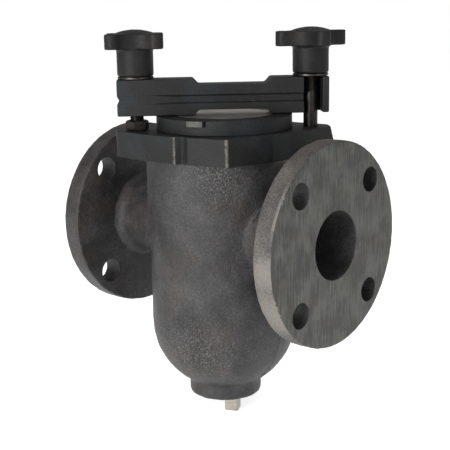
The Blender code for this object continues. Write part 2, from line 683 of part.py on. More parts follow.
# ----------------------------------------------------------------- drain plug

def make_drain_plug(finish):
    thread_r = PLUG_THREAD_OD / 2
    shoulder = BOSS_Z - PLUG_THREAD_OUT
    ease = PLUG_CHAMFER
    plug = rod("drain_plug", thread_r, shoulder, shoulder + PLUG_THREAD_LENGTH,
               segments=COARSE, chamfer=ease, finish=finish)
    half = PLUG_SQUARE / 2
    corner = half - PLUG_CHAMFER
    outline = [(half, -corner), (half, corner), (corner, half), (-corner, half),
               (-half, corner), (-half, -corner), (-corner, -half), (corner, -half)]
    square = prism("square", outline, shoulder - PLUG_SQUARE_LENGTH, shoulder + ease,
                   round_by=PLUG_CHAMFER / 2)
    square.data.transform(Matrix.Rotation(PLUG_TURN, 4, 'Z'))
    combine(plug, square, 'UNION')
    plug.data.name = "drain_plug"
    plug.location = (PLUG_X, 0.0, 0.0)
    finish_round(plug)
    return plug


# --------------------------------------------------------------------- basket

def make_rim(finish):
    """A ring cut from a slab that lies on the sloping seat."""
    rim = rod("basket_rim", RIM_R, POT_ROUND_Z, PLATE_FOOT_Z, segments=MEDIUM, finish=finish)
    combine(rim, seat_slab("slab", -GAP * SLANT, (GAP + RIM_THICK) * SLANT), 'INTERSECT')
    combine(rim, rod("rim_hole", RIM_BORE_R, POT_ROUND_Z - BEYOND, PLATE_TOP_Z,
                     segments=MEDIUM), 'DIFFERENCE')
    rim.data.name = "basket_rim"
    finish_round(rim)
    return rim


def make_screen(finish):
    inner = SCREEN_R - SCREEN_WALL
    screen = turned("basket_screen", [(SCREEN_R, PLATE_TOP_Z), (SCREEN_R, BASKET_BOTTOM_Z),
                                      (inner, BASKET_BOTTOM_Z), (inner, PLATE_TOP_Z)],
                    MEDIUM, finish)
    combine(screen, seat_slab("above", 0.0, 2 * PLATE_TOP_Z), 'DIFFERENCE')
    screen.data.name = "basket_screen"
    finish_round(screen)
    return screen


def make_basket_bottom(finish):
    bottom = rod("basket_bottom", SCREEN_R - SCREEN_WALL - GAP, BASKET_BOTTOM_Z,
                 BASKET_BOTTOM_Z + BOTTOM_THICK, segments=MEDIUM, finish=finish)
    finish_round(bottom)
    return bottom


def bail_path():
    """The bail's centre line as (y, z) points, from one turned-out foot to the other."""
    eye_z = RIM_TOP_Z + EYE_HOLE_UP
    leg = BAIL_HALF - BAIL_INSET
    path = [(-BAIL_HALF - BAIL_INSET, eye_z)]
    path += arc((-leg - BAIL_FOOT_BEND, eye_z + BAIL_FOOT_BEND), BAIL_FOOT_BEND, -pi / 2, 0.0, 4)
    path += arc((-leg + BAIL_CORNER, BAIL_TOP_Z - BAIL_CORNER), BAIL_CORNER, pi, pi / 2, 8)
    return path + [(-y, z) for y, z in reversed(path)]


def make_bail(finish):
    """Round wire arch that the cover holds down on the basket."""
    path = bail_path()
    curve = bpy.data.curves.new("bail_path", 'CURVE')
    curve.dimensions = '3D'
    curve.bevel_depth = BAIL_WIRE / 2
    curve.bevel_resolution = 2
    curve.use_fill_caps = True
    spline = curve.splines.new('POLY')
    spline.points.add(len(path) - 1)
    for point, (y, z) in zip(spline.points, path):
        point.co = (0.0, y, z, 1.0)
    curve.materials.append(finish)
    bail = bpy.data.objects.new("basket_bail", curve)
    bpy.context.collection.objects.link(bail)
    return bail


def make_bail_eye(name, side, finish):
    """An upright plate on the rim, with a hole for a foot of the bail."""
    half = EYE_WIDTH / 2
    foot = RIM_TOP_Z - half
    high = RIM_TOP_Z + EYE_HEIGHT
    outline = rounded([(-half, foot, 0), (half, foot, 0), (half, high, EYE_CORNER),
                       (-half, high, EYE_CORNER)])
    eye = prism(name, outline, -EYE_THICK / 2, EYE_THICK / 2, finish)
    combine(eye, rod("eye_hole", BAIL_WIRE / 2 + GAP, -BEYOND, BEYOND, segments=COARSE,
                     at=(0.0, RIM_TOP_Z + EYE_HOLE_UP)), 'DIFFERENCE')
    eye.data.transform(Matrix.Rotation(pi / 2, 4, 'X'))
    eye.data.transform(Matrix.Translation((0.0, side * BAIL_HALF, 0.0)))
    above_rim = (2 * GAP + RIM_THICK) * SLANT
    combine(eye, seat_slab("rim_space", PLATE_TOP_Z, above_rim), 'DIFFERENCE')
    eye.data.name = name
    finish_round(eye)
    return eye


# ------------------------------------------------------------------- assembly

def build():
    clear_scene()
    cast = material("cast_iron_painted", (0.028, 0.029, 0.032), 0.55, 0.3)
    cover_cast = material("cover_cast_iron", (0.028, 0.029, 0.032), 0.5, 0.3)
    yoke_cast = material("yoke_cast_iron", (0.032, 0.034, 0.040), 0.5, 0.3)
    knob_cast = material("knob_cast_iron", (0.020, 0.020, 0.022), 0.5, 0.3)
    stud_steel = material("stud_steel", (0.035, 0.033, 0.032), 0.4, 0.8)
    nut_steel = material("nut_steel", (0.05, 0.045, 0.04), 0.4, 0.8)
    washer_steel = material("washer_steel", (0.25, 0.23, 0.21), 0.4, 1.0)
    plug_iron = material("plug_iron", (0.45, 0.42, 0.38), 0.4, 1.0)
    gasket_sheet = material("gasket_sheet", (0.06, 0.06, 0.06), 0.8, 0.0)
    screen_steel = material("screen_stainless", (0.42, 0.42, 0.42), 0.35, 1.0)
    rim_steel = material("rim_stainless", (0.45, 0.45, 0.45), 0.3, 1.0)

    make_body(cast)
    make_cover(cover_cast)
    make_gasket(gasket_sheet)
    make_yoke(yoke_cast)
    make_stud("pivot_stud", PIVOT_XY, stud_steel)
    make_stud("slot_stud", SLOT_XY, stud_steel)
    make_lock_nut(nut_steel)
    make_washer("pivot_washer", PIVOT_XY, washer_steel)
    make_washer("slot_washer", SLOT_XY, washer_steel)
    make_knob("pivot_knob", PIVOT_XY, PIVOT_KNOB_TURN, knob_cast)
    make_knob("slot_knob", SLOT_XY, SLOT_KNOB_TURN, knob_cast)
    make_drain_plug(plug_iron)
    make_rim(rim_steel)
    make_screen(screen_steel)
    make_basket_bottom(screen_steel)
    make_bail(rim_steel)
    make_bail_eye("bail_eye_1", -1, rim_steel)
    make_bail_eye("bail_eye_2", 1, rim_steel)


build()
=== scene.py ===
"""Looks for a flanged basket strainer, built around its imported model.

Metres, +Z up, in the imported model's own frame: the pipe runs along X, the cover's
axis is Z, and the yoke lies at 45 degrees between +X and +Y.
"""
from math import acos, asin, atan2, cos, exp, pi, radians, sin, sqrt, tan

import bpy
from bpy.props import FloatProperty, FloatVectorProperty, PointerProperty
from bpy.types import Operator, Panel, PropertyGroup
from mathutils import Matrix, Vector, noise


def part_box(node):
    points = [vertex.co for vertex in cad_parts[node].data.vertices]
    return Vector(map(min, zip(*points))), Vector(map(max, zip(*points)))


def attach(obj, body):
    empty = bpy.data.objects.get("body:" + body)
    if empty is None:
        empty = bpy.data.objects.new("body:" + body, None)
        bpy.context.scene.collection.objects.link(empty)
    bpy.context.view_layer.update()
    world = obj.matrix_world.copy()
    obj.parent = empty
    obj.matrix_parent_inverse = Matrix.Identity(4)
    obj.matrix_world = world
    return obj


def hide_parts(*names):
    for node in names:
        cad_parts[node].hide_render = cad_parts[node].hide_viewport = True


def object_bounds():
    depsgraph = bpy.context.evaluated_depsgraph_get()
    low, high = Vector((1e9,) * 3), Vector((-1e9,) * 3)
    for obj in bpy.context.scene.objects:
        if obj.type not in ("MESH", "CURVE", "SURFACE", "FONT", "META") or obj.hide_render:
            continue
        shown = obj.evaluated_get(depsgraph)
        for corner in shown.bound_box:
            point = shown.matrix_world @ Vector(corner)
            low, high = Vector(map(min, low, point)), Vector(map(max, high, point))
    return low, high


bl_info = {
    "name": "Basket strainer looks",
    "version": (1, 0, 0),
    "blender": (4, 5, 0),
    "location": "3D View > Sidebar > Strainer",
    "description": "Builds the detailed pieces and finishes of a flanged basket strainer",
    "category": "Object",
}

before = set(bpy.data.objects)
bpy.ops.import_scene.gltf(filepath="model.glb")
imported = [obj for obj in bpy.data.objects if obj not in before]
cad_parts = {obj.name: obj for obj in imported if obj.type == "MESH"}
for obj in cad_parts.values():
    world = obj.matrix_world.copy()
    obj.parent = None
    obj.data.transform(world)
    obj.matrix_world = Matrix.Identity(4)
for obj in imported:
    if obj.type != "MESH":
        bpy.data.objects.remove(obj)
CAD_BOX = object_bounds()
MM = 0.001
BODY_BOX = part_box("body")
COVER_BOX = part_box("cover")
YOKE_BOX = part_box("yoke")
STUD_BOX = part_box("slot_stud")
NUT_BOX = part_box("pivot_lock_nut")
WASHER_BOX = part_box("slot_washer")
KNOB_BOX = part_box("pivot_knob")
PLUG_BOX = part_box("drain_plug")
SCREEN_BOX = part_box("basket_screen")

# Places that the pieces share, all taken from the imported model
FACE_X = BODY_BOX[1].x
FLANGE_R = BODY_BOX[1].y
PLATE_TOP_Z = BODY_BOX[1].z
BOSS_Z = BODY_BOX[0].z
STUD_AT = Vector(((STUD_BOX[0].x + STUD_BOX[1].x) / 2, (STUD_BOX[0].y + STUD_BOX[1].y) / 2))
HALF_STUDS = STUD_AT.length
STUD_R = (STUD_BOX[1].x - STUD_BOX[0].x) / 2
PLUG_AT = Vector(((PLUG_BOX[0].x + PLUG_BOX[1].x) / 2, (PLUG_BOX[0].y + PLUG_BOX[1].y) / 2))
YOKE_ANGLE = atan2(STUD_AT.y, STUD_AT.x)
SCREEN_R = SCREEN_BOX[1].y

# Sizes that several pieces share
STUD_HOLE_R = STUD_R + 0.3 * MM      # threads are drawn with this much clearance
COVER_R = 52.5 * MM
REGISTER_R = 45.4 * MM               # ring under the cover that centres it in the mouth
MOUTH_R = 46.0 * MM
BRIGHT_R = 38.0 * MM                 # machined middle of the cover's top
TAB_ANGLE = radians(-71.5)           # where the cover's pry tab points
NUT_ACROSS = 15.9 * MM
SLOT_PLAY_IN = 0.95 * MM             # yoke's slot beside its stud, toward the cover
SLOT_PLAY_OUT = 2.15 * MM            # and away from it
THROUGH = 5 * MM                     # how far a cutting tool runs past what it cuts
EDGE_WEAR = 0.5                      # share of the varnish that ordinary edges have lost


def linear(code):
    """An sRGB hex colour as linear red, green and blue."""
    parts = [int(code[i:i + 2], 16) / 255 for i in (0, 2, 4)]
    return tuple(p / 12.92 if p <= 0.04045 else ((p + 0.055) / 1.055) ** 2.4 for p in parts)


def length(name, about, size):
    """A size in millimetres, as a length property."""
    return FloatProperty(name=name, description=about, default=size * MM, min=0.0,
                         unit='LENGTH', subtype='DISTANCE', precision=4)


def colour(name, about, code):
    """A colour property from an sRGB hex value."""
    return FloatVectorProperty(name=name, description=about, default=linear(code), size=3,
                               min=0.0, max=1.0, subtype='COLOR')


class CastingSizes(PropertyGroup):
    pot_radius: length("Pot radius", "Outside of the pot below its step", 57.8)
    pot_wall: length("Pot wall", "Thickness of the pot's wall", 8.0)
    pot_round_z: FloatProperty(name="Round bottom height", default=-75.0 * MM, unit='LENGTH',
                               description="Height of the centre of the round bottom")
    pot_off_centre: length("Pot set back", "Pot's axis behind the cover's, to the inlet", 3.0)
    step_height: length("Step height", "Height of the parting step around the pot", 12.0)
    step: length("Step", "How far the upper pot stands out at the step", 1.3)
    boss_radius: length("Boss radius", "Drain boss under the pot", 29.0)
    bore_radius: length("Bore radius", "Inside of the inlet and outlet", 25.4)
    neck_wall: length("Neck wall", "Thickness of the necks", 5.6)
    plate_thick: length("Top flange thickness", "Lugged flange under the cover", 20.0)
    plate_margin: length("Top flange margin", "Top flange outside the cover", 7.6)
    flange_thick: length("Pipe flange thickness", "Thickness of both pipe flanges", 15.9)
    bolt_hole: length("Bolt hole radius", "Radius of the flange bolt holes", 9.525)
    bolt_ring: length("Bolt circle radius", "Radius of the bolt circle", 60.325)
    grain: length("Casting relief", "Height of the uneven cast skin", 0.35)
    seam: length("Parting fin", "Height of the fin left where the mould parted", 0.9)


class ClampSizes(PropertyGroup):
    yoke_width: length("Yoke width", "Width of the yoke across its length", 23.0)
    pivot_end: length("Pivot end", "Yoke past the pivot stud", 14.4)
    slot_wall: length("Slot wall", "Yoke outside its slot", 5.1)
    relief_top: length("Top relief", "Depth of the relief in the yoke's top", 4.5)
    relief_under: length("Underside relief", "Depth of the relief under the yoke", 4.0)
    groove_height: length("Groove height", "Height of the groove in the yoke's sides", 7.4)
    groove_depth: length("Groove depth", "Depth of the groove in the yoke's sides", 2.2)
    thread_pitch: length("Thread pitch", "Pitch of the studs, 16 threads to the inch", 1.5875)
    thread_depth: length("Thread depth", "Depth of the stud threads", 0.75)
    lobe_reach: length("Lobe reach", "From a knob's axis to a lobe's tip", 28.9)
    lobe_width: length("Lobe width", "Width of a knob's lobe", 12.0)
    head_height: length("Knob head height", "Height of the lobed head", 11.6)
    dome_height: length("Knob dome height", "Height of the dome on the head", 2.8)
    hub_radius: length("Knob hub radius", "Radius of the knob's hub", 13.9)


class BasketSizes(PropertyGroup):
    hole_pitch: length("Hole pitch", "From one hole of the screen to the next", 5.2)
    hole_margin: length("Hole margin", "Metal beside a hole of the screen", 1.05)
    sheet: length("Sheet", "Thickness of the screen", 0.8)
    wire: length("Wire", "Thickness of the bail's wire", 4.0)


class Finishes(PropertyGroup):
    varnish: colour("Varnish", "Black varnish over cast iron", "1f1f20")
    varnish_thin: colour("Thin varnish", "Where the varnish is thin and dusty", "3d3c3d")
    varnish_warm: colour("Warm varnish", "Brown where rust shows through", "3d332b")
    varnish_cool: colour("Cool varnish", "Green-blue cast of thick varnish", "263033")
    # Bare iron also makes the painted highlights on the knobs and the outlet flange's rim
    bare_iron: colour("Bare iron", "Iron where the varnish has worn off", "8f8a84")
    rim_dust: colour("Rim dust", "Dusty, handled skin of a flange's rim", "5f5a54")
    faced_iron: colour("Faced iron", "Turned face of a pipe flange", "575853")
    bright_iron: colour("Bright iron", "Freshly machined iron", "b0aaa0")
    oxide_steel: colour("Oxide steel", "Oil-blackened steel", "2a2725")
    zinc: colour("Zinc", "Zinc-plated steel", "4d4a46")
    stainless: colour("Stainless", "Rolled stainless sheet", "b3b3b1")
    floor: colour("Floor", "Pale matt floor", "fcfcfc")


# ------------------------------------------------------------- modelling steps

def deselect_all():
    """Leave edit mode and select nothing."""
    if bpy.context.object is not None and bpy.context.object.mode != 'OBJECT':
        bpy.ops.object.mode_set(mode='OBJECT')
    bpy.ops.object.select_all(action='DESELECT')


def work_on(piece):
    """Make a piece the only one selected, and the active one."""
    deselect_all()
    piece.select_set(True)
    bpy.context.view_layer.objects.active = piece


def select_faces(piece, test):
    """Select the faces whose centre and normal pass a test, ready for edit mode."""
    for part in (piece.data.vertices, piece.data.edges, piece.data.polygons):
        part.foreach_set("select", [False] * len(part))
    for face in piece.data.polygons:
        face.select = test(face.center, face.normal)


def turned(name, stations, segments=64, closed=False):
    """Turn a shape about Z: a circle is extruded and resized from station to station.

    Stations are (radius, height). A closed shape is a ring, whose last circle is
    bridged to its first; any other gets a flat cap at each end.
    """
    deselect_all()
    radius, height = stations[0]
    bpy.ops.mesh.primitive_circle_add(vertices=segments, radius=radius,
                                      location=(0.0, 0.0, height))
    piece = bpy.context.object
    piece.name = name
    bpy.ops.object.transform_apply(location=True)
    edit_all()
    if not closed:
        bpy.ops.mesh.edge_face_add()
        bpy.ops.mesh.select_all(action='SELECT')
        bpy.ops.mesh.select_mode(type='EDGE')
        bpy.ops.mesh.region_to_loop()
    for wide, high in stations[1:]:
        bpy.ops.mesh.extrude_edges_move(TRANSFORM_OT_translate={"value": (0, 0, high - height)})
        share = wide / radius
        bpy.ops.transform.resize(value=(share, share, 1.0), center_override=(0.0, 0.0, high))
        radius, height = wide, high
    if closed:
        bpy.ops.mesh.select_all(action='DESELECT')
        bpy.ops.mesh.select_non_manifold()
        bpy.ops.mesh.bridge_edge_loops()
    else:
        bpy.ops.mesh.edge_face_add()
    bpy.ops.mesh.select_mode(type='VERT')
    face_out(piece)
    return piece


def face_out(piece):
    """Merge a piece's doubles and point its faces outward."""
    work_on(piece)
    edit_all()
    bpy.ops.mesh.remove_doubles(threshold=1e-6)
    bpy.ops.mesh.normals_make_consistent(inside=False)
    bpy.ops.object.mode_set(mode='OBJECT')


def prism(name, outline, low, high):
    """Extrude an outline of (x, y) points: a filled circle moved to it, then pulled up."""
    deselect_all()
    bpy.ops.mesh.primitive_circle_add(vertices=len(outline), fill_type='NGON')
    piece = bpy.context.object
    piece.name = name
    for vert, (x, y) in zip(piece.data.vertices, outline):
        vert.co = (x, y, low)
    edit_all()
    bpy.ops.mesh.extrude_region_move(TRANSFORM_OT_translate={"value": (0, 0, high - low)})
    face_out(piece)
    return piece


def placed(piece, turn=0.0, axis='Z', at=(0.0, 0.0, 0.0)):
    """Turn a piece about an axis through the origin, move it, and apply both."""
    work_on(piece)
    piece.matrix_world = Matrix.Translation(at) @ Matrix.Rotation(turn, 4, axis)
    bpy.ops.object.transform_apply(location=True, rotation=True, scale=True)
    return piece


def at_stud(piece, way):
    """Move a piece to the pivot stud (way -1) or to the slotted end's stud (way 1)."""
    return placed(piece, at=(way * STUD_AT.x, way * STUD_AT.y, 0.0))


def drill(radius, low, high, segments):
    """A round cutting tool between two heights."""
    return turned("drill", [(radius, low), (radius, high)], segments)


def edit_all():
    """Enter edit mode with everything selected."""
    bpy.ops.object.mode_set(mode='EDIT')
    bpy.ops.mesh.select_all(action='SELECT')


def applied(piece, kind, **settings):
    """Give a piece a modifier and apply it."""
    work_on(piece)
    step = piece.modifiers.new("step", kind)
    for name, value in settings.items():
        setattr(step, name, value)
    bpy.ops.object.modifier_apply(modifier=step.name)
    return piece


def combined(piece, tool, operation, solver='EXACT'):
    """Cut, join or intersect a piece with a tool, then drop the tool."""
    applied(piece, 'BOOLEAN', operation=operation, solver=solver, object=tool)
    bpy.data.objects.remove(tool, do_unlink=True)
    return piece


def eased(piece, width, segments=2, angle=35.0):
    """Round a piece's sharp edges, and mark the new faces as worn."""
    piece.data.materials.clear()
    piece.data.materials.append(None)
    piece.data.materials.append(None)
    applied(piece, 'BEVEL', width=width, segments=segments, limit_method='ANGLE',
            angle_limit=radians(angle), material=1, miter_outer='MITER_ARC',
            use_clamp_overlap=True)
    wear_and_highlight(piece, lambda centre, normal: EDGE_WEAR, lambda face: face.material_index == 1)
    piece.data.polygons.foreach_set("material_index", [0] * len(piece.data.polygons))
    piece.data.materials.clear()
    return piece


def wear_and_highlight(piece, amount, chosen=lambda face: True):
    """Raise the "worn" attribute of chosen faces to amount(centre, normal): bare-iron specks for
    real wear, and in a few places for a painted highlight.
    """
    mesh = piece.data
    worn = mesh.attributes.get("worn") or mesh.attributes.new("worn", 'FLOAT', 'CORNER')
    for face in mesh.polygons:
        if chosen(face):
            value = amount(face.center, face.normal)
            for corner in face.loop_indices:
                worn.data[corner].value = max(worn.data[corner].value, value)


def near(point, reach):
    """A test of how close a place is to a point: 1 at it, fading to 0 with distance."""
    middle = Vector(point)

    def close(centre, normal):
        return exp(-((centre - middle).length / reach) ** 2)
    return close


def uneven(piece, height, grain):
    """Push vertices in and out by smooth noise, like the skin of a sand casting."""
    normals = [vert.normal.copy() for vert in piece.data.vertices]
    for vert, outward in zip(piece.data.vertices, normals):
        swell = noise.noise(vert.co / grain) + 0.5 * noise.noise(vert.co * 2.3 / grain)
        vert.co += outward * height * swell


def arc(centre, radius, start, end, steps):
    """Points along an arc, both ends among them."""
    turn = (end - start) / steps
    return [(centre[0] + radius * cos(start + turn * i),
             centre[1] + radius * sin(start + turn * i)) for i in range(steps + 1)]


def rounded(corners, steps=6):
    """An outline through corners of (x, y, radius), each rounded by its radius."""
    outline = []
    count = len(corners)
    for i, (x, y, radius) in enumerate(corners):
        here = Vector((x, y))
        back = (Vector(corners[i - 1][:2]) - here).normalized()
        ahead = (Vector(corners[(i + 1) % count][:2]) - here).normalized()
        if radius <= 0:
            outline.append((x, y))
            continue
        half = acos(max(-1.0, min(1.0, back.dot(ahead)))) / 2
        reach = radius / tan(half)
        centre = here + (back + ahead).normalized() * (radius / sin(half))
        first = here + back * reach - centre
        turn = pi - 2 * half
        if back.x * ahead.y - back.y * ahead.x > 0:
            turn = -turn
        for k in range(steps + 1):
            part = first.copy()
            part.rotate(Matrix.Rotation(turn * k / steps, 2))
            outline.append(tuple(centre + part))
    return outline


def finished(piece, name, finishes, body, nodes, angle=32.0, flat_faces=True):
    """Name a piece, give it its finishes and smooth shading, and fix it to its body.

    Its broad flat faces stay flat, and only the bevels between them turn the light.
    """
    piece.name = name
    piece.data.name = name
    work_on(piece)
    bpy.ops.object.shade_smooth_by_angle(angle=radians(angle))
    if flat_faces:
        applied(piece, 'WEIGHTED_NORMAL', mode='FACE_AREA', weight=80, keep_sharp=True)
    piece.data.materials.clear()
    for finish in finishes:
        piece.data.materials.append(finish)
    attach(piece, body)
    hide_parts(*nodes)
    return piece


def give_finish(piece, index, test):
    """Give the faces that pass a test another of the piece's finishes."""
    for face in piece.data.polygons:
        if test(face.center, face.normal):
            face.material_index = index


# ------------------------------------------------------------------- finishes

RGB_A, RGB_B, RGB_OUT = 6, 7, 2      # colour sockets of a Mix node


def feed(tree, node, links):
    """Link sources into a node's inputs; a node as a source means its first output."""
    for key, source in links.items():
        tree.links.new(getattr(source, "outputs", [source])[0], node.inputs[key])


def add_node(tree, kind, settings=None, links=None):
    """Add a node, with its properties, its input values and its incoming links."""
    made = tree.nodes.new(kind)
    for key, value in (settings or {}).items():
        if isinstance(key, str) and hasattr(made, key):
            setattr(made, key, value)
        else:
            made.inputs[key].default_value = value
    feed(tree, made, links or {})
    return made


def per(size_mm):
    """Scale of a pattern whose features are this many millimetres across."""
    return 1.0 / (size_mm * MM)


def blank(name, metallic, roughness):
    """A new material, its node tree and its shader."""
    made = bpy.data.materials.new(name)
    made.use_nodes = True
    tree = made.node_tree
    shader = tree.nodes["Principled BSDF"]
    shader.inputs["Metallic"].default_value = metallic
    shader.inputs["Roughness"].default_value = roughness
    return made, tree, shader


def rgba(values):
    """An opaque colour."""
    return (*values, 1.0)


def varnished_iron(name, deep, thin, warm, bare, grain_mm, relief_mm, gloss, warmth, shine):
    """Sand-cast grey iron under thin black varnish.

    The varnish pools and thins in patches, rust warms it here and there, sand grain
    stands through it, and bare iron shows in specks where the "worn" attribute says, partly as a
    painted highlight.
    """
    made, tree, shader = blank(name, 0.0, 0.45)
    shader.inputs["Specular IOR Level"].default_value = shine
    place = add_node(tree, 'ShaderNodeTexCoord').outputs["Object"]
    patches = add_node(tree, 'ShaderNodeTexNoise',
                       {"Scale": per(26), "Detail": 5.0, "Roughness": 0.6}, {"Vector": place})
    thinness = add_node(tree, 'ShaderNodeMapRange', {"From Min": 0.36, "From Max": 0.68},
                        {"Value": patches})
    skin = add_node(tree, 'ShaderNodeMix', {"data_type": 'RGBA', RGB_A: rgba(deep),
                                            RGB_B: rgba(thin)},
                    {0: thinness})
    rust = add_node(tree, 'ShaderNodeTexNoise',
                    {"noise_dimensions": '4D', "W": 3.7, "Scale": per(38), "Detail": 4.0},
                    {"Vector": place})
    rusty = add_node(tree, 'ShaderNodeMapRange',
                     {"From Min": 0.5, "From Max": 0.72, "To Max": warmth},
                     {"Value": rust})
    tinted = add_node(tree, 'ShaderNodeMix', {"data_type": 'RGBA', RGB_B: rgba(warm)},
                      {0: rusty, RGB_A: skin.outputs[RGB_OUT]})
    grain = add_node(tree, 'ShaderNodeTexNoise',
                     {"Scale": per(grain_mm), "Detail": 3.0, "Roughness": 0.65},
                     {"Vector": place})
    lit = add_node(tree, 'ShaderNodeMapRange',
                   {"From Min": 0.34, "From Max": 0.68, "To Min": 0.55, "To Max": 1.7},
                   {"Value": grain})
    sanded = add_node(tree, 'ShaderNodeVectorMath', {"operation": 'SCALE'},
                      {0: tinted.outputs[RGB_OUT], "Scale": lit})
    rough = add_node(tree, 'ShaderNodeAttribute', {"attribute_name": "rough"})
    speck = add_node(tree, 'ShaderNodeMapRange', {"From Min": 0.52, "From Max": 0.66},
                     {"Value": grain})
    dusty = add_node(tree, 'ShaderNodeMath', {"operation": 'MULTIPLY'},
                     {0: speck, 1: rough.outputs["Fac"]})
    dusted = add_node(tree, 'ShaderNodeMath', {"operation": 'MULTIPLY', 1: 0.5},
                      {0: dusty})
    worn = add_node(tree, 'ShaderNodeAttribute', {"attribute_name": "worn"})
    flake = add_node(tree, 'ShaderNodeTexNoise',
                     {"noise_dimensions": '4D', "W": 1.3, "Scale": per(2.6), "Detail": 6.0,
                      "Roughness": 0.75}, {"Vector": place})
    flaked = add_node(tree, 'ShaderNodeMath', {"operation": 'ADD'},
                      {0: worn.outputs["Fac"], 1: flake})
    bared = add_node(tree, 'ShaderNodeMapRange',
                     {"From Min": 1.08, "From Max": 1.5, "To Max": 0.85},
                     {"Value": flaked})
    shown = add_node(tree, 'ShaderNodeMath', {"operation": 'MAXIMUM'},
                     {0: bared, 1: dusted})
    final = add_node(tree, 'ShaderNodeMix', {"data_type": 'RGBA', RGB_B: rgba(bare)},
                     {0: shown, RGB_A: sanded})
    feed(tree, shader, {"Base Color": final.outputs[RGB_OUT]})
    feed(tree, shader, {"Metallic": bared})
    sheen = add_node(tree, 'ShaderNodeMapRange',
                     {"To Min": gloss, "To Max": gloss + 0.22},
                     {"Value": patches})
    feed(tree, shader, {"Roughness": sheen})
    depth = add_node(tree, 'ShaderNodeMath', {"operation": 'MULTIPLY_ADD', 1: 1.2, 2: 1.0},
                     {0: rough.outputs["Fac"]})
    sand = add_node(tree, 'ShaderNodeMath', {"operation": 'MULTIPLY'},
                    {0: grain, 1: depth})
    relief = add_node(tree, 'ShaderNodeBump', {"Strength": 1.0, "Distance": relief_mm * MM},
                      {"Height": sand})
    feed(tree, shader, {"Normal": relief.outputs["Normal"]})
    return made


def machined_metal(name, light, dark, stained, rough, stretch, mark_mm, relief_mm,
                   metallic=1.0, shine=0.5):
    """Metal with tool or rolling marks drawn along one direction.

    Stretch gives how long the marks are along X, Y and Z against their width.
    """
    made, tree, shader = blank(name, metallic, rough)
    shader.inputs["Specular IOR Level"].default_value = shine
    place = add_node(tree, 'ShaderNodeTexCoord').outputs["Object"]
    drawn = add_node(tree, 'ShaderNodeMapping', {"Scale": [1.0 / s for s in stretch]},
                     {"Vector": place})
    marks = add_node(tree, 'ShaderNodeTexNoise',
                     {"Scale": per(mark_mm), "Detail": 4.0, "Roughness": 0.6},
                     {"Vector": drawn})
    stain = add_node(tree, 'ShaderNodeTexNoise',
                     {"Scale": per(17), "Detail": 5.0, "Roughness": 0.6}, {"Vector": place})
    both = add_node(tree, 'ShaderNodeMath', {"operation": 'ADD'},
                    {0: marks, 1: stain})
    shade = add_node(tree, 'ShaderNodeMapRange', {"From Min": 0.88, "From Max": 1.14},
                     {"Value": both})
    tone = add_node(tree, 'ShaderNodeMix', {"data_type": 'RGBA', RGB_A: rgba(dark),
                                            RGB_B: rgba(light)},
                    {0: shade})
    blot = add_node(tree, 'ShaderNodeTexNoise',
                    {"noise_dimensions": '4D', "W": 5.1, "Scale": per(24), "Detail": 6.0,
                     "Roughness": 0.65}, {"Vector": place})
    blotted = add_node(tree, 'ShaderNodeMapRange',
                       {"From Min": 0.5, "From Max": 0.7, "To Max": 0.7},
                       {"Value": blot})
    aged = add_node(tree, 'ShaderNodeMix', {"data_type": 'RGBA', RGB_B: rgba(stained)},
                    {0: blotted, RGB_A: tone.outputs[RGB_OUT]})
    feed(tree, shader, {"Base Color": aged.outputs[RGB_OUT]})
    dull = add_node(tree, 'ShaderNodeMapRange', {"To Min": rough - 0.1, "To Max": rough + 0.14},
                    {"Value": stain})
    feed(tree, shader, {"Roughness": dull})
    cut = add_node(tree, 'ShaderNodeBump', {"Strength": 0.8, "Distance": relief_mm * MM},
                   {"Height": marks})
    feed(tree, shader, {"Normal": cut.outputs["Normal"]})
    return made


def moulded_sheet(name, shade, rough):
    """Compressed gasket sheet: dead matt, with faint fibre mottling."""
    made, tree, shader = blank(name, 0.0, rough)
    place = add_node(tree, 'ShaderNodeTexCoord').outputs["Object"]
    fibre = add_node(tree, 'ShaderNodeTexNoise', {"Scale": per(1.5), "Detail": 4.0},
                     {"Vector": place})
    tone = add_node(tree, 'ShaderNodeMix',
                    {"data_type": 'RGBA', RGB_A: rgba([c * 0.7 for c in shade]),
                     RGB_B: rgba([c * 1.3 for c in shade])}, {0: fibre})
    feed(tree, shader, {"Base Color": tone.outputs[RGB_OUT]})
    return made


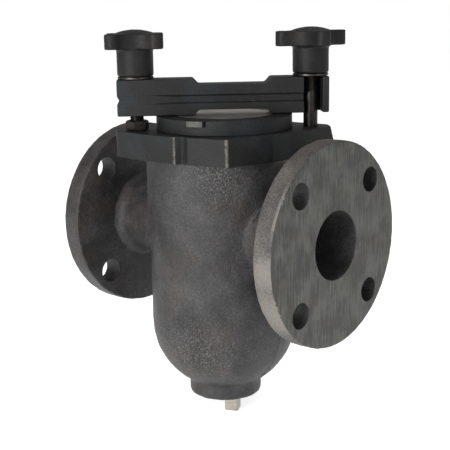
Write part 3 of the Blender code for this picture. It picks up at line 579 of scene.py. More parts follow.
def finish(name):
    """The finish of this name, made when it is first asked for."""
    ready = bpy.data.materials.get(name)
    if ready is not None:
        return ready
    tint = bpy.context.scene.strainer_finishes
    if name == "sand_cast_iron_varnished":
        # Coarse sand skin on pot, necks and flange backs; satin, with rust showing through
        return varnished_iron(name, tint.varnish, tint.varnish_thin, tint.varnish_warm,
                              tint.bare_iron, 1.3, 0.5, 0.4, 0.5, 0.4)
    if name == "fettled_iron_varnished":
        # Ground edges of the lugged top flange and the yoke: finer grain, cooler varnish
        return varnished_iron(name, [c * 0.6 for c in tint.varnish], tint.varnish,
                              tint.varnish_cool, tint.bare_iron, 0.9, 0.2, 0.42, 0.6, 0.25)
    if name == "flange_rim_iron":
        # Rough cast rim that has been handled and dragged: dusty, with bright scuffs that are
        # partly a painted highlight
        return varnished_iron(name, tint.varnish_thin, tint.rim_dust, tint.varnish_warm,
                              tint.bare_iron, 1.0, 0.6, 0.5, 0.6, 0.4)
    if name == "knob_iron_enamelled":
        # Black stoved enamel on small cast knobs: darkest and smoothest of the castings
        return varnished_iron(name, [c * 0.35 for c in tint.varnish],
                              [c * 0.8 for c in tint.varnish], tint.varnish_warm,
                              tint.bare_iron, 0.8, 0.14, 0.4, 0.2, 0.2)
    if name == "faced_iron_oiled":
        # Turned flange faces and tab end: grey, oiled, upright tool marks 1.4 mm apart
        return machined_metal(name, tint.faced_iron, [c * 0.42 for c in tint.faced_iron],
                              tint.varnish_warm, 0.5, (1.0, 1.0, 14.0), 1.4, 0.05, 0.3, 0.4)
    if name == "bright_machined_iron":
        # Middle of the cover and drain plug: freshly cut iron, tan-silver, fine marks
        return machined_metal(name, tint.bright_iron, [c * 0.75 for c in tint.bright_iron],
                              [c * 0.6 for c in tint.bright_iron], 0.38,
                              (9.0, 9.0, 1.0), 0.8, 0.04)
    if name == "black_oxide_steel":
        # Studs and lock nut: oil-blackened steel with a brown cast
        return machined_metal(name, tint.oxide_steel, [c * 0.5 for c in tint.oxide_steel],
                              tint.varnish_warm, 0.36, (1.0, 1.0, 1.0), 1.2, 0.05, 0.6)
    if name == "zinc_plated_steel":
        # Washers: dulled zinc plate
        return machined_metal(name, tint.zinc, [c * 0.5 for c in tint.zinc],
                              tint.varnish_thin, 0.36, (4.0, 4.0, 1.0), 1.0, 0.03)
    if name == "stainless_rolled":
        # Basket: rolled stainless sheet with a fine grain along Z
        return machined_metal(name, tint.stainless, [c * 0.75 for c in tint.stainless],
                              [c * 0.6 for c in tint.stainless], 0.3,
                              (1.0, 1.0, 12.0), 0.7, 0.02)
    if name == "gasket_sheet":
        return moulded_sheet(name, linear("202020"), 0.85)
    raise ValueError(f"there is no finish named {name}")


# --------------------------------------------------------------------- pieces

def plate_outline(sizes, inset=0.0):
    """Plan of the lugged top flange, the same on both sides of the yoke's line."""
    stud = STUD_AT.x
    edge = COVER_R + sizes.plate_margin - inset
    flank = stud + 17.0 * MM - inset
    tip = stud + 13.8 * MM - inset
    end = 6.5 * MM - inset
    side = [(-tip, -tip, 10 * MM), (-stud + 25.4 * MM, -flank, 8 * MM),
            (end, -flank + 1.2 * MM, 2.2 * MM), (end + 3 * MM, -edge + 2.2 * MM, 1.2 * MM),
            (end + 6 * MM, -edge + 2.2 * MM, 2 * MM),
            (end + 10.5 * MM, -edge, 3 * MM), (edge - 11.5 * MM, -edge + 7 * MM, 3.5 * MM),
            (edge, -16 * MM, 12 * MM), (edge, 6 * MM, 2 * MM),
            (stud + 16.3 * MM - inset, stud + 4.8 * MM - inset, 6 * MM)]
    return side + [(y, x, r) for x, y, r in reversed(side[1:])]


def lean_lug(piece, low, high):
    """Lean the slotted-end lug out toward its foot."""
    for vert in piece.data.vertices:
        if vert.co.x > STUD_AT.x and vert.co.y > STUD_AT.y:
            out = 4.5 * MM * (high - vert.co.z) / (high - low) / sqrt(2)
            vert.co.x += out
            vert.co.y += out


def block(name, low, high):
    """A box between two corners, for cutting with."""
    deselect_all()
    middle = [(a + b) / 2 for a, b in zip(low, high)]
    bpy.ops.mesh.primitive_cube_add(size=1.0, location=middle)
    piece = bpy.context.object
    piece.name = name
    piece.scale = [b - a for a, b in zip(low, high)]
    bpy.ops.object.transform_apply(location=True, rotation=True, scale=True)
    return piece


def make_casting(sizes):
    """Pot, necks and boss, grown together with soft fillets as the casting is."""
    pot_x = -sizes.pot_off_centre
    pot_r = sizes.pot_radius
    neck_r = sizes.bore_radius + sizes.neck_wall
    back_x = FACE_X - sizes.flange_thick
    plate_foot = PLATE_TOP_Z - sizes.plate_thick
    inside_r = pot_r - sizes.pot_wall
    meet = asin(sizes.boss_radius / pot_r)
    boss_round = 2.5 * MM

    stations = [(pot_r, PLATE_TOP_Z - 4 * MM)]
    stations += arc((0.0, sizes.pot_round_z), pot_r, 0.0, meet - pi / 2, 16)
    stations += arc((sizes.boss_radius - boss_round, BOSS_Z + boss_round), boss_round,
                    0.0, -pi / 2, 3)
    casting = placed(turned("casting", stations, 96), at=(pot_x, 0.0, 0.0))
    plate = prism("plate", rounded(plate_outline(sizes, 1.0 * MM), 4),
                  plate_foot + 0.7 * MM, PLATE_TOP_Z - 4 * MM)
    lean_lug(plate, plate_foot, PLATE_TOP_Z)
    extra = [plate]
    for side in (-1, 1):
        neck = turned("neck", [(neck_r, 20 * MM), (neck_r, back_x - 6 * MM),
                               (neck_r + 1.8 * MM, back_x - 1.8 * MM),
                               (neck_r + 6 * MM, back_x + 0.6 * MM),
                               (46 * MM, back_x + 0.6 * MM), (46 * MM, back_x + 8 * MM)], 96)
        extra.append(placed(neck, side * pi / 2, 'Y'))
    deselect_all()
    for piece in [casting] + extra:
        piece.select_set(True)
    bpy.context.view_layer.objects.active = casting
    bpy.ops.object.join()
    applied(casting, 'REMESH', mode='VOXEL', voxel_size=1.15 * MM, adaptivity=0.0)

    soft = casting.vertex_groups.new(name="soft")
    for vert in casting.data.vertices:
        x, y, z = vert.co
        off_pot = abs(sqrt((x - pot_x) ** 2 + y ** 2) - pot_r)
        off_neck = abs(sqrt(y ** 2 + z ** 2) - neck_r)
        joint = exp(-(off_pot / (9 * MM)) ** 2 - (off_neck / (9 * MM)) ** 2)
        root = exp(-((abs(x) - back_x) / (5 * MM)) ** 2 - (off_neck / (5 * MM)) ** 2)
        under = exp(-((z - plate_foot) / (6 * MM)) ** 2 - (off_pot / (8 * MM)) ** 2)
        boss = exp(-((z - BOSS_Z - 8 * MM) / (5 * MM)) ** 2) * 0.5
        soft.add([vert.index], min(1.0, joint + root + under + boss), 'REPLACE')
    applied(casting, 'SMOOTH', factor=0.6, iterations=45, vertex_group="soft")
    applied(casting, 'SMOOTH', factor=0.5, iterations=3)
    casting.vertex_groups.clear()
    step_z = sizes.step_height
    for vert in casting.data.vertices:
        across = Vector((vert.co.x - pot_x, vert.co.y, 0.0))
        if abs(across.length - pot_r) < 2.5 * MM and vert.co.z < plate_foot:
            share = 1.0 / (1.0 + exp(-(vert.co.z - step_z) / (0.45 * MM)))
            vert.co += across.normalized() * sizes.step * share
    for vert in casting.data.vertices:
        x, y, z = vert.co
        if z < -60 * MM and abs(y) < 4 * MM and z > BOSS_Z + 2 * MM:
            broken = 0.6 + 0.8 * noise.noise(Vector((x, 0.0, z)) / (4 * MM))
            out = Vector((x - pot_x, 0.0, z - sizes.pot_round_z)).normalized()
            vert.co += out * sizes.seam * broken * exp(-(y / (1.1 * MM)) ** 2)
    uneven(casting, sizes.grain, 9 * MM)

    above = block("above", (-0.2, -0.2, plate_foot + 1.2 * MM), (0.2, 0.2, 0.2))
    combined(casting, above, 'DIFFERENCE', 'MANIFOLD')
    for side in (-1, 1):
        ends = sorted((side * (back_x + 1.5 * MM), side * 0.2))
        beyond = block("beyond", (ends[0], -0.1, -0.1), (ends[1], 0.1, 0.1))
        combined(casting, beyond, 'DIFFERENCE', 'MANIFOLD')
    seat_r = SCREEN_R + 1.5 * MM
    hollow = turned("hollow", [(inside_r, plate_foot + 5 * MM)] +
                    arc((0.0, sizes.pot_round_z), inside_r, 0.0, -pi / 2 + 0.08, 12), 96)
    placed(hollow, at=(pot_x, 0.0, 0.0))
    low, high = -31.0 * MM, 35.0 * MM
    slope = (high - low) / (2 * inside_r)
    run = 2 * inside_r
    mid = low + slope * (inside_r - pot_x)
    left, right = mid - slope * run, mid + slope * run
    thick = 6.9 * MM
    slab = prism("slab", [(-run, left), (run, right), (run, right - thick),
                          (-run, left - thick)], -run, run)
    placed(slab, pi / 2, 'X')
    combined(hollow, slab, 'DIFFERENCE')
    combined(casting, hollow, 'DIFFERENCE', 'MANIFOLD')
    cutters = [placed(drill(sizes.bore_radius + 0.1 * MM, 42 * MM, FACE_X, 96),
                      side * pi / 2, 'Y') for side in (-1, 1)]
    cutters.append(drill(seat_r, sizes.pot_round_z, PLATE_TOP_Z, 80))
    cutters.append(placed(drill(8.85 * MM, BOSS_Z - THROUGH, sizes.pot_round_z, 40),
                          at=(PLUG_AT.x, PLUG_AT.y, 0.0)))
    for cutter in cutters:
        combined(casting, cutter, 'DIFFERENCE', 'MANIFOLD')

    mesh = casting.data
    rough = mesh.attributes.new("rough", 'FLOAT', 'POINT')
    patches = [(Vector((14, -52, -92)), 24 * MM), (Vector((34, -46, 50)), 17 * MM),
               (Vector((46, 24, -98)), 15 * MM), (Vector((-20, 54, -60)), 22 * MM),
               (Vector((-50, -30, -20)), 14 * MM)]
    for vert in mesh.vertices:
        rough.data[vert.index].value = min(1.0, sum(
            exp(-((vert.co - spot * MM).length / reach) ** 2) for spot, reach in patches))
    return casting


class STRAINER_OT_casting(Operator):
    """Build the pot with its necks and drain boss"""
    bl_idname = "strainer.casting"
    bl_label = "Casting"

    def execute(self, context):
        casting = make_casting(context.scene.strainer_casting)
        finished(casting, "pot_casting", [finish("sand_cast_iron_varnished")], "casing",
                 ["body"], 50.0)
        return {'FINISHED'}


def make_top_flange(sizes):
    """Lugged flange with the pot's mouth and the stud holes, scraped at its corners."""
    foot = PLATE_TOP_Z - sizes.plate_thick
    plate = prism("plate", rounded(plate_outline(sizes)), foot, PLATE_TOP_Z)
    lean_lug(plate, foot, PLATE_TOP_Z)
    cutters = [drill(MOUTH_R, foot - THROUGH, PLATE_TOP_Z + THROUGH, 96)]
    for way in (-1, 1):
        hole = drill(STUD_HOLE_R, foot - THROUGH, PLATE_TOP_Z + THROUGH, 40)
        cutters.append(at_stud(hole, way))
    for cutter in cutters:
        combined(plate, cutter, 'DIFFERENCE')
    eased(plate, 1.5 * MM, 3, 40.0)
    corner = Vector((48.6, -52.8)) * MM
    lug = Vector((6.5, -62.6)) * MM
    hollow_side = Vector((15.5, -60.0)) * MM

    def scraped(centre, normal):
        flat = centre.xy
        if abs(normal.z) > 0.9:
            return 0.0
        front = 0.8 * exp(-((flat - corner).length / (2.6 * MM)) ** 2)
        broken = 0.75 * exp(-((flat - lug).length / (2.2 * MM)) ** 2)
        sweep = 0.5 * exp(-((flat - hollow_side).length / (3.2 * MM)) ** 2)
        return max(front, broken, sweep)
    wear_and_highlight(plate, scraped)
    return plate


class STRAINER_OT_top_flange(Operator):
    """Build the lugged flange that carries the cover and the studs"""
    bl_idname = "strainer.top_flange"
    bl_label = "Top flange"

    def execute(self, context):
        plate = make_top_flange(context.scene.strainer_casting)
        finished(plate, "lugged_top_flange", [finish("fettled_iron_varnished")], "casing",
                 ["body"])
        return {'FINISHED'}


def make_pipe_flange(sizes, side):
    """One pipe flange, turned, drilled, and left with an uneven cast rim."""
    back = FACE_X - sizes.flange_thick
    bore = sizes.bore_radius
    rim = FLANGE_R - 0.3 * MM
    stations = [(bore, back + 1.0 * MM), (bore, FACE_X - 0.5 * MM), (bore + 0.5 * MM, FACE_X),
                (40 * MM, FACE_X), (70 * MM, FACE_X), (rim - 1.1 * MM, FACE_X),
                (rim - 0.3 * MM, FACE_X - 0.35 * MM), (rim, FACE_X - 1.2 * MM)]
    stations += [(rim, FACE_X - (1.2 + 1.28 * k) * MM) for k in range(1, 11)]
    stations += [(rim - 0.5 * MM, back + 0.5 * MM), (rim - 1.3 * MM, back),
                 (55 * MM, back), (bore + 4 * MM, back)]
    flange = turned("flange", stations, 256, closed=True)
    for vert in flange.data.vertices:
        flat = vert.co.xy
        if flat.length > rim - 1.6 * MM:
            there = Vector((flat.x, flat.y, vert.co.z)) / (5 * MM)
            swell = noise.noise(there) + 0.6 * noise.noise(there * 2.7)
            keep = 0.35 if vert.co.z > FACE_X - 0.1 * MM else 1.0
            vert.co.xy = flat * (1 + keep * 0.3 * MM * swell / flat.length)
    for k in range(4):
        angle = (k + 0.5) * pi / 2
        hole = drill(sizes.bolt_hole, back - THROUGH, FACE_X + THROUGH, 48)
        placed(hole, at=(sizes.bolt_ring * cos(angle), sizes.bolt_ring * sin(angle), 0.0))
        combined(flange, hole, 'DIFFERENCE')
    eased(flange, 0.45 * MM, 2, 50.0)
    placed(flange, side * pi / 2, 'Y')
    return flange


class STRAINER_OT_pipe_flanges(Operator):
    """Build both drilled pipe flanges"""
    bl_idname = "strainer.pipe_flanges"
    bl_label = "Pipe flanges"

    def execute(self, context):
        sizes = context.scene.strainer_casting
        back = FACE_X - sizes.flange_thick
        for side, name in ((-1, "inlet_flange"), (1, "outlet_flange")):
            flange = make_pipe_flange(sizes, side)
            rim_in = FLANGE_R - 1.9 * MM
            if side > 0:
                # Bare-iron specks on the outlet flange's rim at its lower front, its front and
                # along its face edge: partly dust and wear, partly painted light on the lower
                # front and a painted highlight along the face edge
                for inward, across, up, reach in ((0, -66, -38, 34), (6, -75, -6, 22)):
                    wear_and_highlight(flange, near((FACE_X - inward * MM, across * MM, up * MM), reach * MM),
                        lambda face: face.center.yz.length > rim_in)
                wear_and_highlight(flange, near((FACE_X, -66 * MM, 36 * MM), 30 * MM),
                    lambda face: face.center.yz.length > rim_in and
                    face.center.x > FACE_X - 3 * MM)
            finished(flange, name,
                     [finish("sand_cast_iron_varnished"), finish("faced_iron_oiled"),
                      finish("flange_rim_iron")],
                     "casing", ["body"])
            give_finish(flange, 1, lambda centre, normal: abs(centre.x) > FACE_X - 0.2 * MM)
            if side > 0:
                give_finish(flange, 2, lambda centre, normal: centre.yz.length > rim_in
                            and back + 0.2 * MM < abs(centre.x) < FACE_X - 0.2 * MM)
        return {'FINISHED'}


class STRAINER_OT_cover(Operator):
    """Build the round cover with its tab, and its gasket"""
    bl_idname = "strainer.cover"
    bl_label = "Cover and gasket"

    def execute(self, context):
        foot, top = PLATE_TOP_Z + 0.3 * MM, COVER_BOX[1].z
        shoulder = top - 0.35 * MM
        cover = turned("cover", [(COVER_R, foot), (COVER_R, shoulder), (BRIGHT_R, shoulder),
                                 (BRIGHT_R - 0.2 * MM, top)], 160)
        ring_out, ring_in = COVER_R - 1.8 * MM, COVER_R - 5.4 * MM
        groove = turned("groove", ring(ring_in, ring_out, foot - 2 * MM, foot + 2.2 * MM),
                        128, closed=True)
        combined(cover, groove, 'DIFFERENCE')
        lip = turned("lip", ring(REGISTER_R, REGISTER_R - 9 * MM, foot + 2.4 * MM,
                                 foot - 6 * MM), 128, closed=True)
        combined(cover, lip, 'UNION')
        half, root, reach = 7.0 * MM, COVER_R - 14 * MM, COVER_R + 3.5 * MM
        tab = prism("tab", rounded([(root, -half, 0), (reach, -half, 1.4 * MM),
                                    (reach, half, 1.4 * MM), (root, half, 0)]),
                    top - 4.3 * MM, top - 0.1 * MM)
        placed(tab, TAB_ANGLE)
        combined(cover, tab, 'UNION')
        eased(cover, 0.5 * MM, 2, 40.0)
        outward = Vector((cos(TAB_ANGLE), sin(TAB_ANGLE), 0.0))
        finished(cover, "clamped_cover", [finish("fettled_iron_varnished"),
                                          finish("bright_machined_iron")],
                 "casing", ["cover"])
        cover.data.materials.append(finish("faced_iron_oiled"))
        give_finish(cover, 1, lambda centre, normal: normal.z > 0.9 and
                    centre.xy.length < BRIGHT_R and centre.z > top - 0.05 * MM)
        give_finish(cover, 2, lambda centre, normal: normal.dot(outward) > 0.9 and
                    centre.dot(outward) > reach - 0.6 * MM)
        gasket = turned("gasket", ring(ring_out - 0.3 * MM, ring_in + 0.3 * MM, foot,
                                       foot + 1.9 * MM), 128, closed=True)
        eased(gasket, 0.25 * MM)
        finished(gasket, "cover_gasket_ring", [finish("gasket_sheet")], "casing",
                 ["cover_gasket"])
        return {'FINISHED'}


def make_yoke(sizes):
    """Clamp bar from its side view, drilled, slotted and grooved along both sides."""
    half = sizes.yoke_width / 2
    foot, top = YOKE_BOX[0].z, YOKE_BOX[1].z
    left = -HALF_STUDS - sizes.pivot_end
    slot_in = HALF_STUDS - STUD_R - SLOT_PLAY_IN
    slot_out = HALF_STUDS + STUD_R + SLOT_PLAY_OUT
    right = slot_out + sizes.slot_wall
    near_end, far_end = -23.5 * MM, 36.5 * MM
    run, ease = 4.0 * MM, 3.0 * MM
    over, under = top - sizes.relief_top, foot + sizes.relief_under
    notch = foot + 12.1 * MM
    half_notch = 3.25 * MM
    side_view = [(left, foot, 1.2 * MM), (near_end, foot, ease), (near_end + run, under, ease),
                 (far_end - run, under, ease), (far_end, foot, ease), (right, foot, 1.2 * MM),
                 (right, top, 1.2 * MM), (far_end, top, ease), (far_end - run, over, ease),
                 (near_end + run, over, ease), (near_end, top, ease), (left, top, 1.2 * MM),
                 (left, notch + half_notch, 0.8 * MM), (left + 1.7 * MM, notch, 0.8 * MM),
                 (left, notch - half_notch, 0.8 * MM)]
    yoke = placed(prism("yoke", rounded(side_view), -half, half), pi / 2, 'X')
    hole = drill(STUD_R + 0.8 * MM, foot - THROUGH, top + THROUGH, 48)
    combined(yoke, placed(hole, at=(-HALF_STUDS, 0.0, 0.0)), 'DIFFERENCE')
    back = STUD_R + 1.45 * MM
    slot = prism("slot", rounded([(slot_in, -half - 5 * MM, 0), (slot_out, -half - 5 * MM, 0),
                                  (slot_out, back, 5 * MM), (slot_in, back, 5 * MM)]),
                 foot - 5 * MM, top + 5 * MM)
    combined(yoke, slot, 'DIFFERENCE')
    mid = foot + 12.1 * MM
    tall, deep = sizes.groove_height / 2, sizes.groove_depth
    start = -HALF_STUDS + 2 * MM
    for side in (-1, 1):
        end = slot_in + (5 * MM if side < 0 else -5 * MM)
        outline = [(start, side * (half + 0.02 * MM)), (start + 30 * MM, side * (half - deep)),
                   (end, side * (half - deep)), (end, side * (half + 5 * MM)),
                   (start, side * (half + 5 * MM))]
        groove = prism("groove", outline, mid - tall, mid + tall)
        for vert in groove.data.vertices:
            if abs(vert.co.y) < half:
                vert.co.z = mid + (vert.co.z - mid) * 0.72
        combined(yoke, groove, 'DIFFERENCE')
    eased(yoke, 0.8 * MM, 3, 30.0)
    return placed(yoke, YOKE_ANGLE)


class STRAINER_OT_yoke(Operator):
    """Build the swing yoke"""
    bl_idname = "strainer.yoke"
    bl_label = "Yoke"

    def execute(self, context):
        yoke = make_yoke(context.scene.strainer_clamp)
        finished(yoke, "swing_yoke", [finish("fettled_iron_varnished")], "yoke_arm",
                 ["yoke"])
        return {'FINISHED'}


def ring(first, second, near_end, far_end):
    """Stations of a plain ring: up the first radius, and back down the second."""
    return [(first, near_end), (first, far_end), (second, far_end), (second, near_end)]


def threaded_rod(name, radius, low, high, thread_from, pitch, depth):
    """A round bar whose upper part carries a real helical thread."""
    rows = max(2, round((high - thread_from) / (pitch / 4)))
    step = (high - thread_from) / rows
    stations = [(radius - 1 * MM, low), (radius, low + 1 * MM), (radius, thread_from)]
    stations += [(radius, thread_from + step * k) for k in range(1, rows)]
    stations += [(radius - 1.2 * MM, high)]
    bar = turned(name, stations, 32)
    for vert in bar.data.vertices:
        flat = vert.co.xy
        if vert.co.z > thread_from + 0.1 * pitch and flat.length > radius * 0.5:
            phase = (vert.co.z / pitch - atan2(flat.y, flat.x) / (2 * pi)) % 1.0
            valley = abs(2.0 * phase - 1.0)
            ease = min(1.0, (vert.co.z - thread_from) / pitch)
            vert.co.xy = flat * (1.0 - depth * valley * ease / radius)
    return bar


class STRAINER_OT_studs(Operator):
    """Build both studs and the pivot stud's lock nut"""
    bl_idname = "strainer.studs"
    bl_label = "Studs and lock nut"

    def execute(self, context):
        sizes = context.scene.strainer_clamp
        for way, node, thread_from in ((-1, "pivot_stud", 78.5 * MM), (1, "slot_stud", 104 * MM)):
            low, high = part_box(node)[0].z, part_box(node)[1].z
            stud = threaded_rod(node, STUD_R, low, high, thread_from, sizes.thread_pitch,
                                sizes.thread_depth)
            at_stud(stud, way)
            finished(stud, "threaded_" + node, [finish("black_oxide_steel")], "casing",
                     [node], 40.0)
        low, high = NUT_BOX[0].z, NUT_BOX[1].z
        corner = NUT_ACROSS / 2 / cos(pi / 6)
        nut = prism("nut", [(corner * cos(k * pi / 3), corner * sin(k * pi / 3))
                            for k in range(6)], low, high)
        slope = 1.1 * MM
        crown = turned("crown", [(corner - 1.6 * MM, low), (corner + 0.3 * MM, low + slope),
                                 (corner + 0.3 * MM, high - slope), (corner - 1.6 * MM, high)], 72)
        combined(nut, crown, 'INTERSECT')
        combined(nut, drill(STUD_HOLE_R, low - 2 * MM, high + 2 * MM, 48), 'DIFFERENCE')
        eased(nut, 0.3 * MM, 2, 28.0)
        at_stud(nut, -1)
        finished(nut, "hex_lock_nut", [finish("black_oxide_steel")], "casing",
                 ["pivot_lock_nut"])
        return {'FINISHED'}


class STRAINER_OT_washers(Operator):
    """Build the washer under each knob"""
    bl_idname = "strainer.washers"
    bl_label = "Washers"

    def execute(self, context):
        low, high = WASHER_BOX[0].z, WASHER_BOX[1].z
        outer = (WASHER_BOX[1].x - WASHER_BOX[0].x) / 2
        inner = STUD_R + 0.8 * MM
        for way, node in ((-1, "pivot_washer"), (1, "slot_washer")):
            washer = turned(node, ring(inner, outer, low, high), 96, closed=True)
            eased(washer, 0.3 * MM, 3)
            at_stud(washer, way)
            finished(washer, "flat_" + node, [finish("zinc_plated_steel")], node + "_stage",
                     [node])
        return {'FINISHED'}


def lobe_outline(reach_out, width):
    """Plan of a knob's head: four round lobes joined by hollow sweeps."""
    lobe_r = width / 2
    reach = reach_out - lobe_r
    sweep_at = Vector((reach, reach))
    points = []
    for k in range(4):
        one = arc((reach, 0.0), lobe_r, -pi / 2, pi / 2, 12)
        one += arc(sweep_at, reach - lobe_r, -pi / 2, -pi, 12)[1:-1]
        back = Matrix.Rotation(k * pi / 2, 2)
        for x, y in one:
            spot = Vector((x, y))
            spot.rotate(back)
            points.append(tuple(spot))
    return points


def make_knob(sizes, turn):
    """Lobed head and hub, grown together like a small casting, with a blind hole."""
    top = KNOB_BOX[1].z
    foot = KNOB_BOX[0].z
    head_top = top - sizes.dome_height
    head_low = head_top - sizes.head_height
    dome_edge = 15.2 * MM
    dome_r = (dome_edge ** 2 + sizes.dome_height ** 2) / (2 * sizes.dome_height)
    hub = sizes.hub_radius
    knob = prism("knob", lobe_outline(sizes.lobe_reach - 0.3 * MM, sizes.lobe_width - 0.4 * MM),
                 head_low + 0.1 * MM, head_top - 0.1 * MM)
    core = [(hub - 0.8 * MM, foot), (hub, foot + 0.8 * MM), (hub, head_low - 1.2 * MM),
            (dome_edge, head_low + 0.6 * MM), (dome_edge, head_top - 1.0 * MM)]
    core += arc((0.0, top - dome_r), dome_r, pi / 2 - asin(dome_edge / dome_r), pi / 2 - 0.04, 8)
    middle = turned("middle", core, 96)
    deselect_all()
    middle.select_set(True)
    knob.select_set(True)
    bpy.context.view_layer.objects.active = knob
    bpy.ops.object.join()
    applied(knob, 'REMESH', mode='VOXEL', voxel_size=0.62 * MM, adaptivity=0.0)
    applied(knob, 'SMOOTH', factor=0.5, iterations=7)
    uneven(knob, 0.07 * MM, 4 * MM)
    below = block("below", (-0.05, -0.05, foot - 0.01), (0.05, 0.05, foot + 0.25 * MM))
    combined(knob, below, 'DIFFERENCE', 'MANIFOLD')
    hole = drill(STUD_HOLE_R, foot - THROUGH, top - 6 * MM, 48)
    combined(knob, hole, 'DIFFERENCE', 'MANIFOLD')
    return placed(knob, turn)


class STRAINER_OT_knobs(Operator):
    """Build the two four-lobed hand knobs"""
    bl_idname = "strainer.knobs"
    bl_label = "Hand knobs"

    def execute(self, context):
        sizes = context.scene.strainer_clamp
        for way, node, turn in ((-1, "pivot_knob", 0.0), (1, "slot_knob", -30.0)):
            knob = make_knob(sizes, radians(turn))
            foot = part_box(node)[0].z
            at_stud(knob, way)
            if way < 0:
                # The pivot knob's lowest millimetre gets bare-iron specks: a painted highlight
                # along the hub's bottom edge
                wear_and_highlight(knob, lambda centre, normal: 0.55,
                    lambda face: face.center.z < foot + 1.0 * MM)
            else:
                # A patch of bare-iron specks on the slot knob's front lobe: partly scuffs, partly
                # a painted highlight
                spot = (STUD_AT.x + 9 * MM, STUD_AT.y - 10 * MM, foot + 11 * MM)
                wear_and_highlight(knob, lambda centre, normal: 0.6 * near(spot, 6 * MM)(centre, normal))
            finished(knob, "four_lobe_" + node, [finish("knob_iron_enamelled")], node + "_turn",
                     [node], 40.0)
        return {'FINISHED'}


class STRAINER_OT_drain_plug(Operator):
    """Build the square-headed drain plug"""
    bl_idname = "strainer.drain_plug"
    bl_label = "Drain plug"

    def execute(self, context):
        sizes = context.scene.strainer_clamp
        top, low = PLUG_BOX[1].z, PLUG_BOX[0].z
        shoulder = BOSS_Z - 4.5 * MM
        thread_r = 8.55 * MM
        plug = threaded_rod("plug", thread_r, shoulder, top, shoulder + 1.2 * MM,
                            sizes.thread_pitch * 1.14, 0.8 * MM)
        half = 5.55 * MM
        cut = half - 1.0 * MM
        square = prism("square", [(half, -cut), (half, cut), (cut, half), (-cut, half),
                                  (-half, cut), (-half, -cut), (-cut, -half), (cut, -half)],
                       low, shoulder + 1 * MM)
        eased(square, 0.5 * MM, 3, 30.0)
        placed(square, radians(27))
        combined(plug, square, 'UNION')
        placed(plug, at=(PLUG_AT.x, PLUG_AT.y, 0.0))
        finished(plug, "square_drain_plug", [finish("bright_machined_iron")], "plug",
                 ["drain_plug"], 40.0)
        return {'FINISHED'}


def make_screen(sizes, mid_z, slope):
    """A grid whose faces are inset and opened, rolled up, cut at the seat and thickened."""
    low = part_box("basket_screen")[0].z
    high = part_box("basket_screen")[1].z
    around = 2 * pi * SCREEN_R
    columns = round(around / sizes.hole_pitch)
    rows = round((high - low) / sizes.hole_pitch)
    deselect_all()
    bpy.ops.mesh.primitive_grid_add(x_subdivisions=columns, y_subdivisions=rows, size=1.0)
    screen = bpy.context.object
    screen.scale = (around, high - low, 1.0)
    bpy.ops.object.transform_apply(scale=True)
    row = (high - low) / rows

    def opened(centre, normal):
        height = centre.y + (high + low) / 2
        turn = centre.x / SCREEN_R
        seat = mid_z + slope * SCREEN_R * cos(turn)
        return height > low + 1.6 * row and height < seat - 1.6 * row
    select_faces(screen, opened)
    bpy.ops.object.mode_set(mode='EDIT')
    bpy.ops.mesh.select_mode(type='FACE')
    bpy.ops.mesh.inset(thickness=sizes.hole_margin, use_individual=True)
    bpy.ops.mesh.delete(type='FACE')
    bpy.ops.object.mode_set(mode='OBJECT')
    skin = SCREEN_R - sizes.sheet
    for vert in screen.data.vertices:
        turn = vert.co.x / SCREEN_R
        vert.co = (skin * cos(turn), skin * sin(turn), vert.co.y + (high + low) / 2)
    work_on(screen)
    edit_all()
    bpy.ops.mesh.remove_doubles(threshold=1e-5)
    bpy.ops.mesh.bisect(plane_co=(0.0, 0.0, mid_z), plane_no=(-slope, 0.0, 1.0),
                        clear_outer=True)
    bpy.ops.mesh.select_all(action='SELECT')
    bpy.ops.mesh.normals_make_consistent(inside=False)
    bpy.ops.object.mode_set(mode='OBJECT')
    return applied(screen, 'SOLIDIFY', thickness=sizes.sheet, offset=1.0)


def make_bail(sizes):
    """Wire arch: a small circle extruded and turned along the bail's line."""
    low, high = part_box("basket_bail")
    wire = sizes.wire / 2
    half = high.y
    leg = half - 7.0 * MM
    foot_z, top_z = low.z + wire, high.z - wire
    bend, corner = 3.0 * MM, 18.0 * MM
    path = [(-half, foot_z)]
    path += arc((-leg - bend, foot_z + bend), bend, -pi / 2, 0.0, 6)
    path += arc((-leg + corner, top_z - corner), corner, pi, pi / 2, 12)
    path += [(-y, z) for y, z in reversed(path)]
    path = [Vector((0.0, y, z)) for y, z in path]
    deselect_all()
    sides = 16
    bpy.ops.mesh.primitive_circle_add(vertices=sides, radius=wire, location=path[0],
                                      rotation=(pi / 2, 0.0, 0.0))
    bail = bpy.context.object
    bpy.ops.object.transform_apply(location=True, rotation=True, scale=True)
    edit_all()
    bpy.ops.mesh.edge_face_add()
    bpy.ops.mesh.select_all(action='SELECT')
    bpy.ops.mesh.select_mode(type='EDGE')
    bpy.ops.mesh.region_to_loop()
    for _ in path[1:]:
        bpy.ops.mesh.extrude_edges_move(TRANSFORM_OT_translate={"value": (0, 1e-4, 0)})
    bpy.ops.mesh.edge_face_add()
    bpy.ops.object.mode_set(mode='OBJECT')
    for i, spot in enumerate(path):
        ahead = path[min(i + 1, len(path) - 1)] - path[max(i - 1, 0)]
        across = Vector((1.0, 0.0, 0.0))
        up = across.cross(ahead.normalized())
        rim = sorted(bail.data.vertices, key=lambda v: v.index)[i * sides:(i + 1) * sides]
        for k, vert in enumerate(rim):
            turn = 2 * pi * k / sides
            vert.co = spot + across * wire * cos(turn) + up * wire * sin(turn)
    face_out(bail)
    return bail


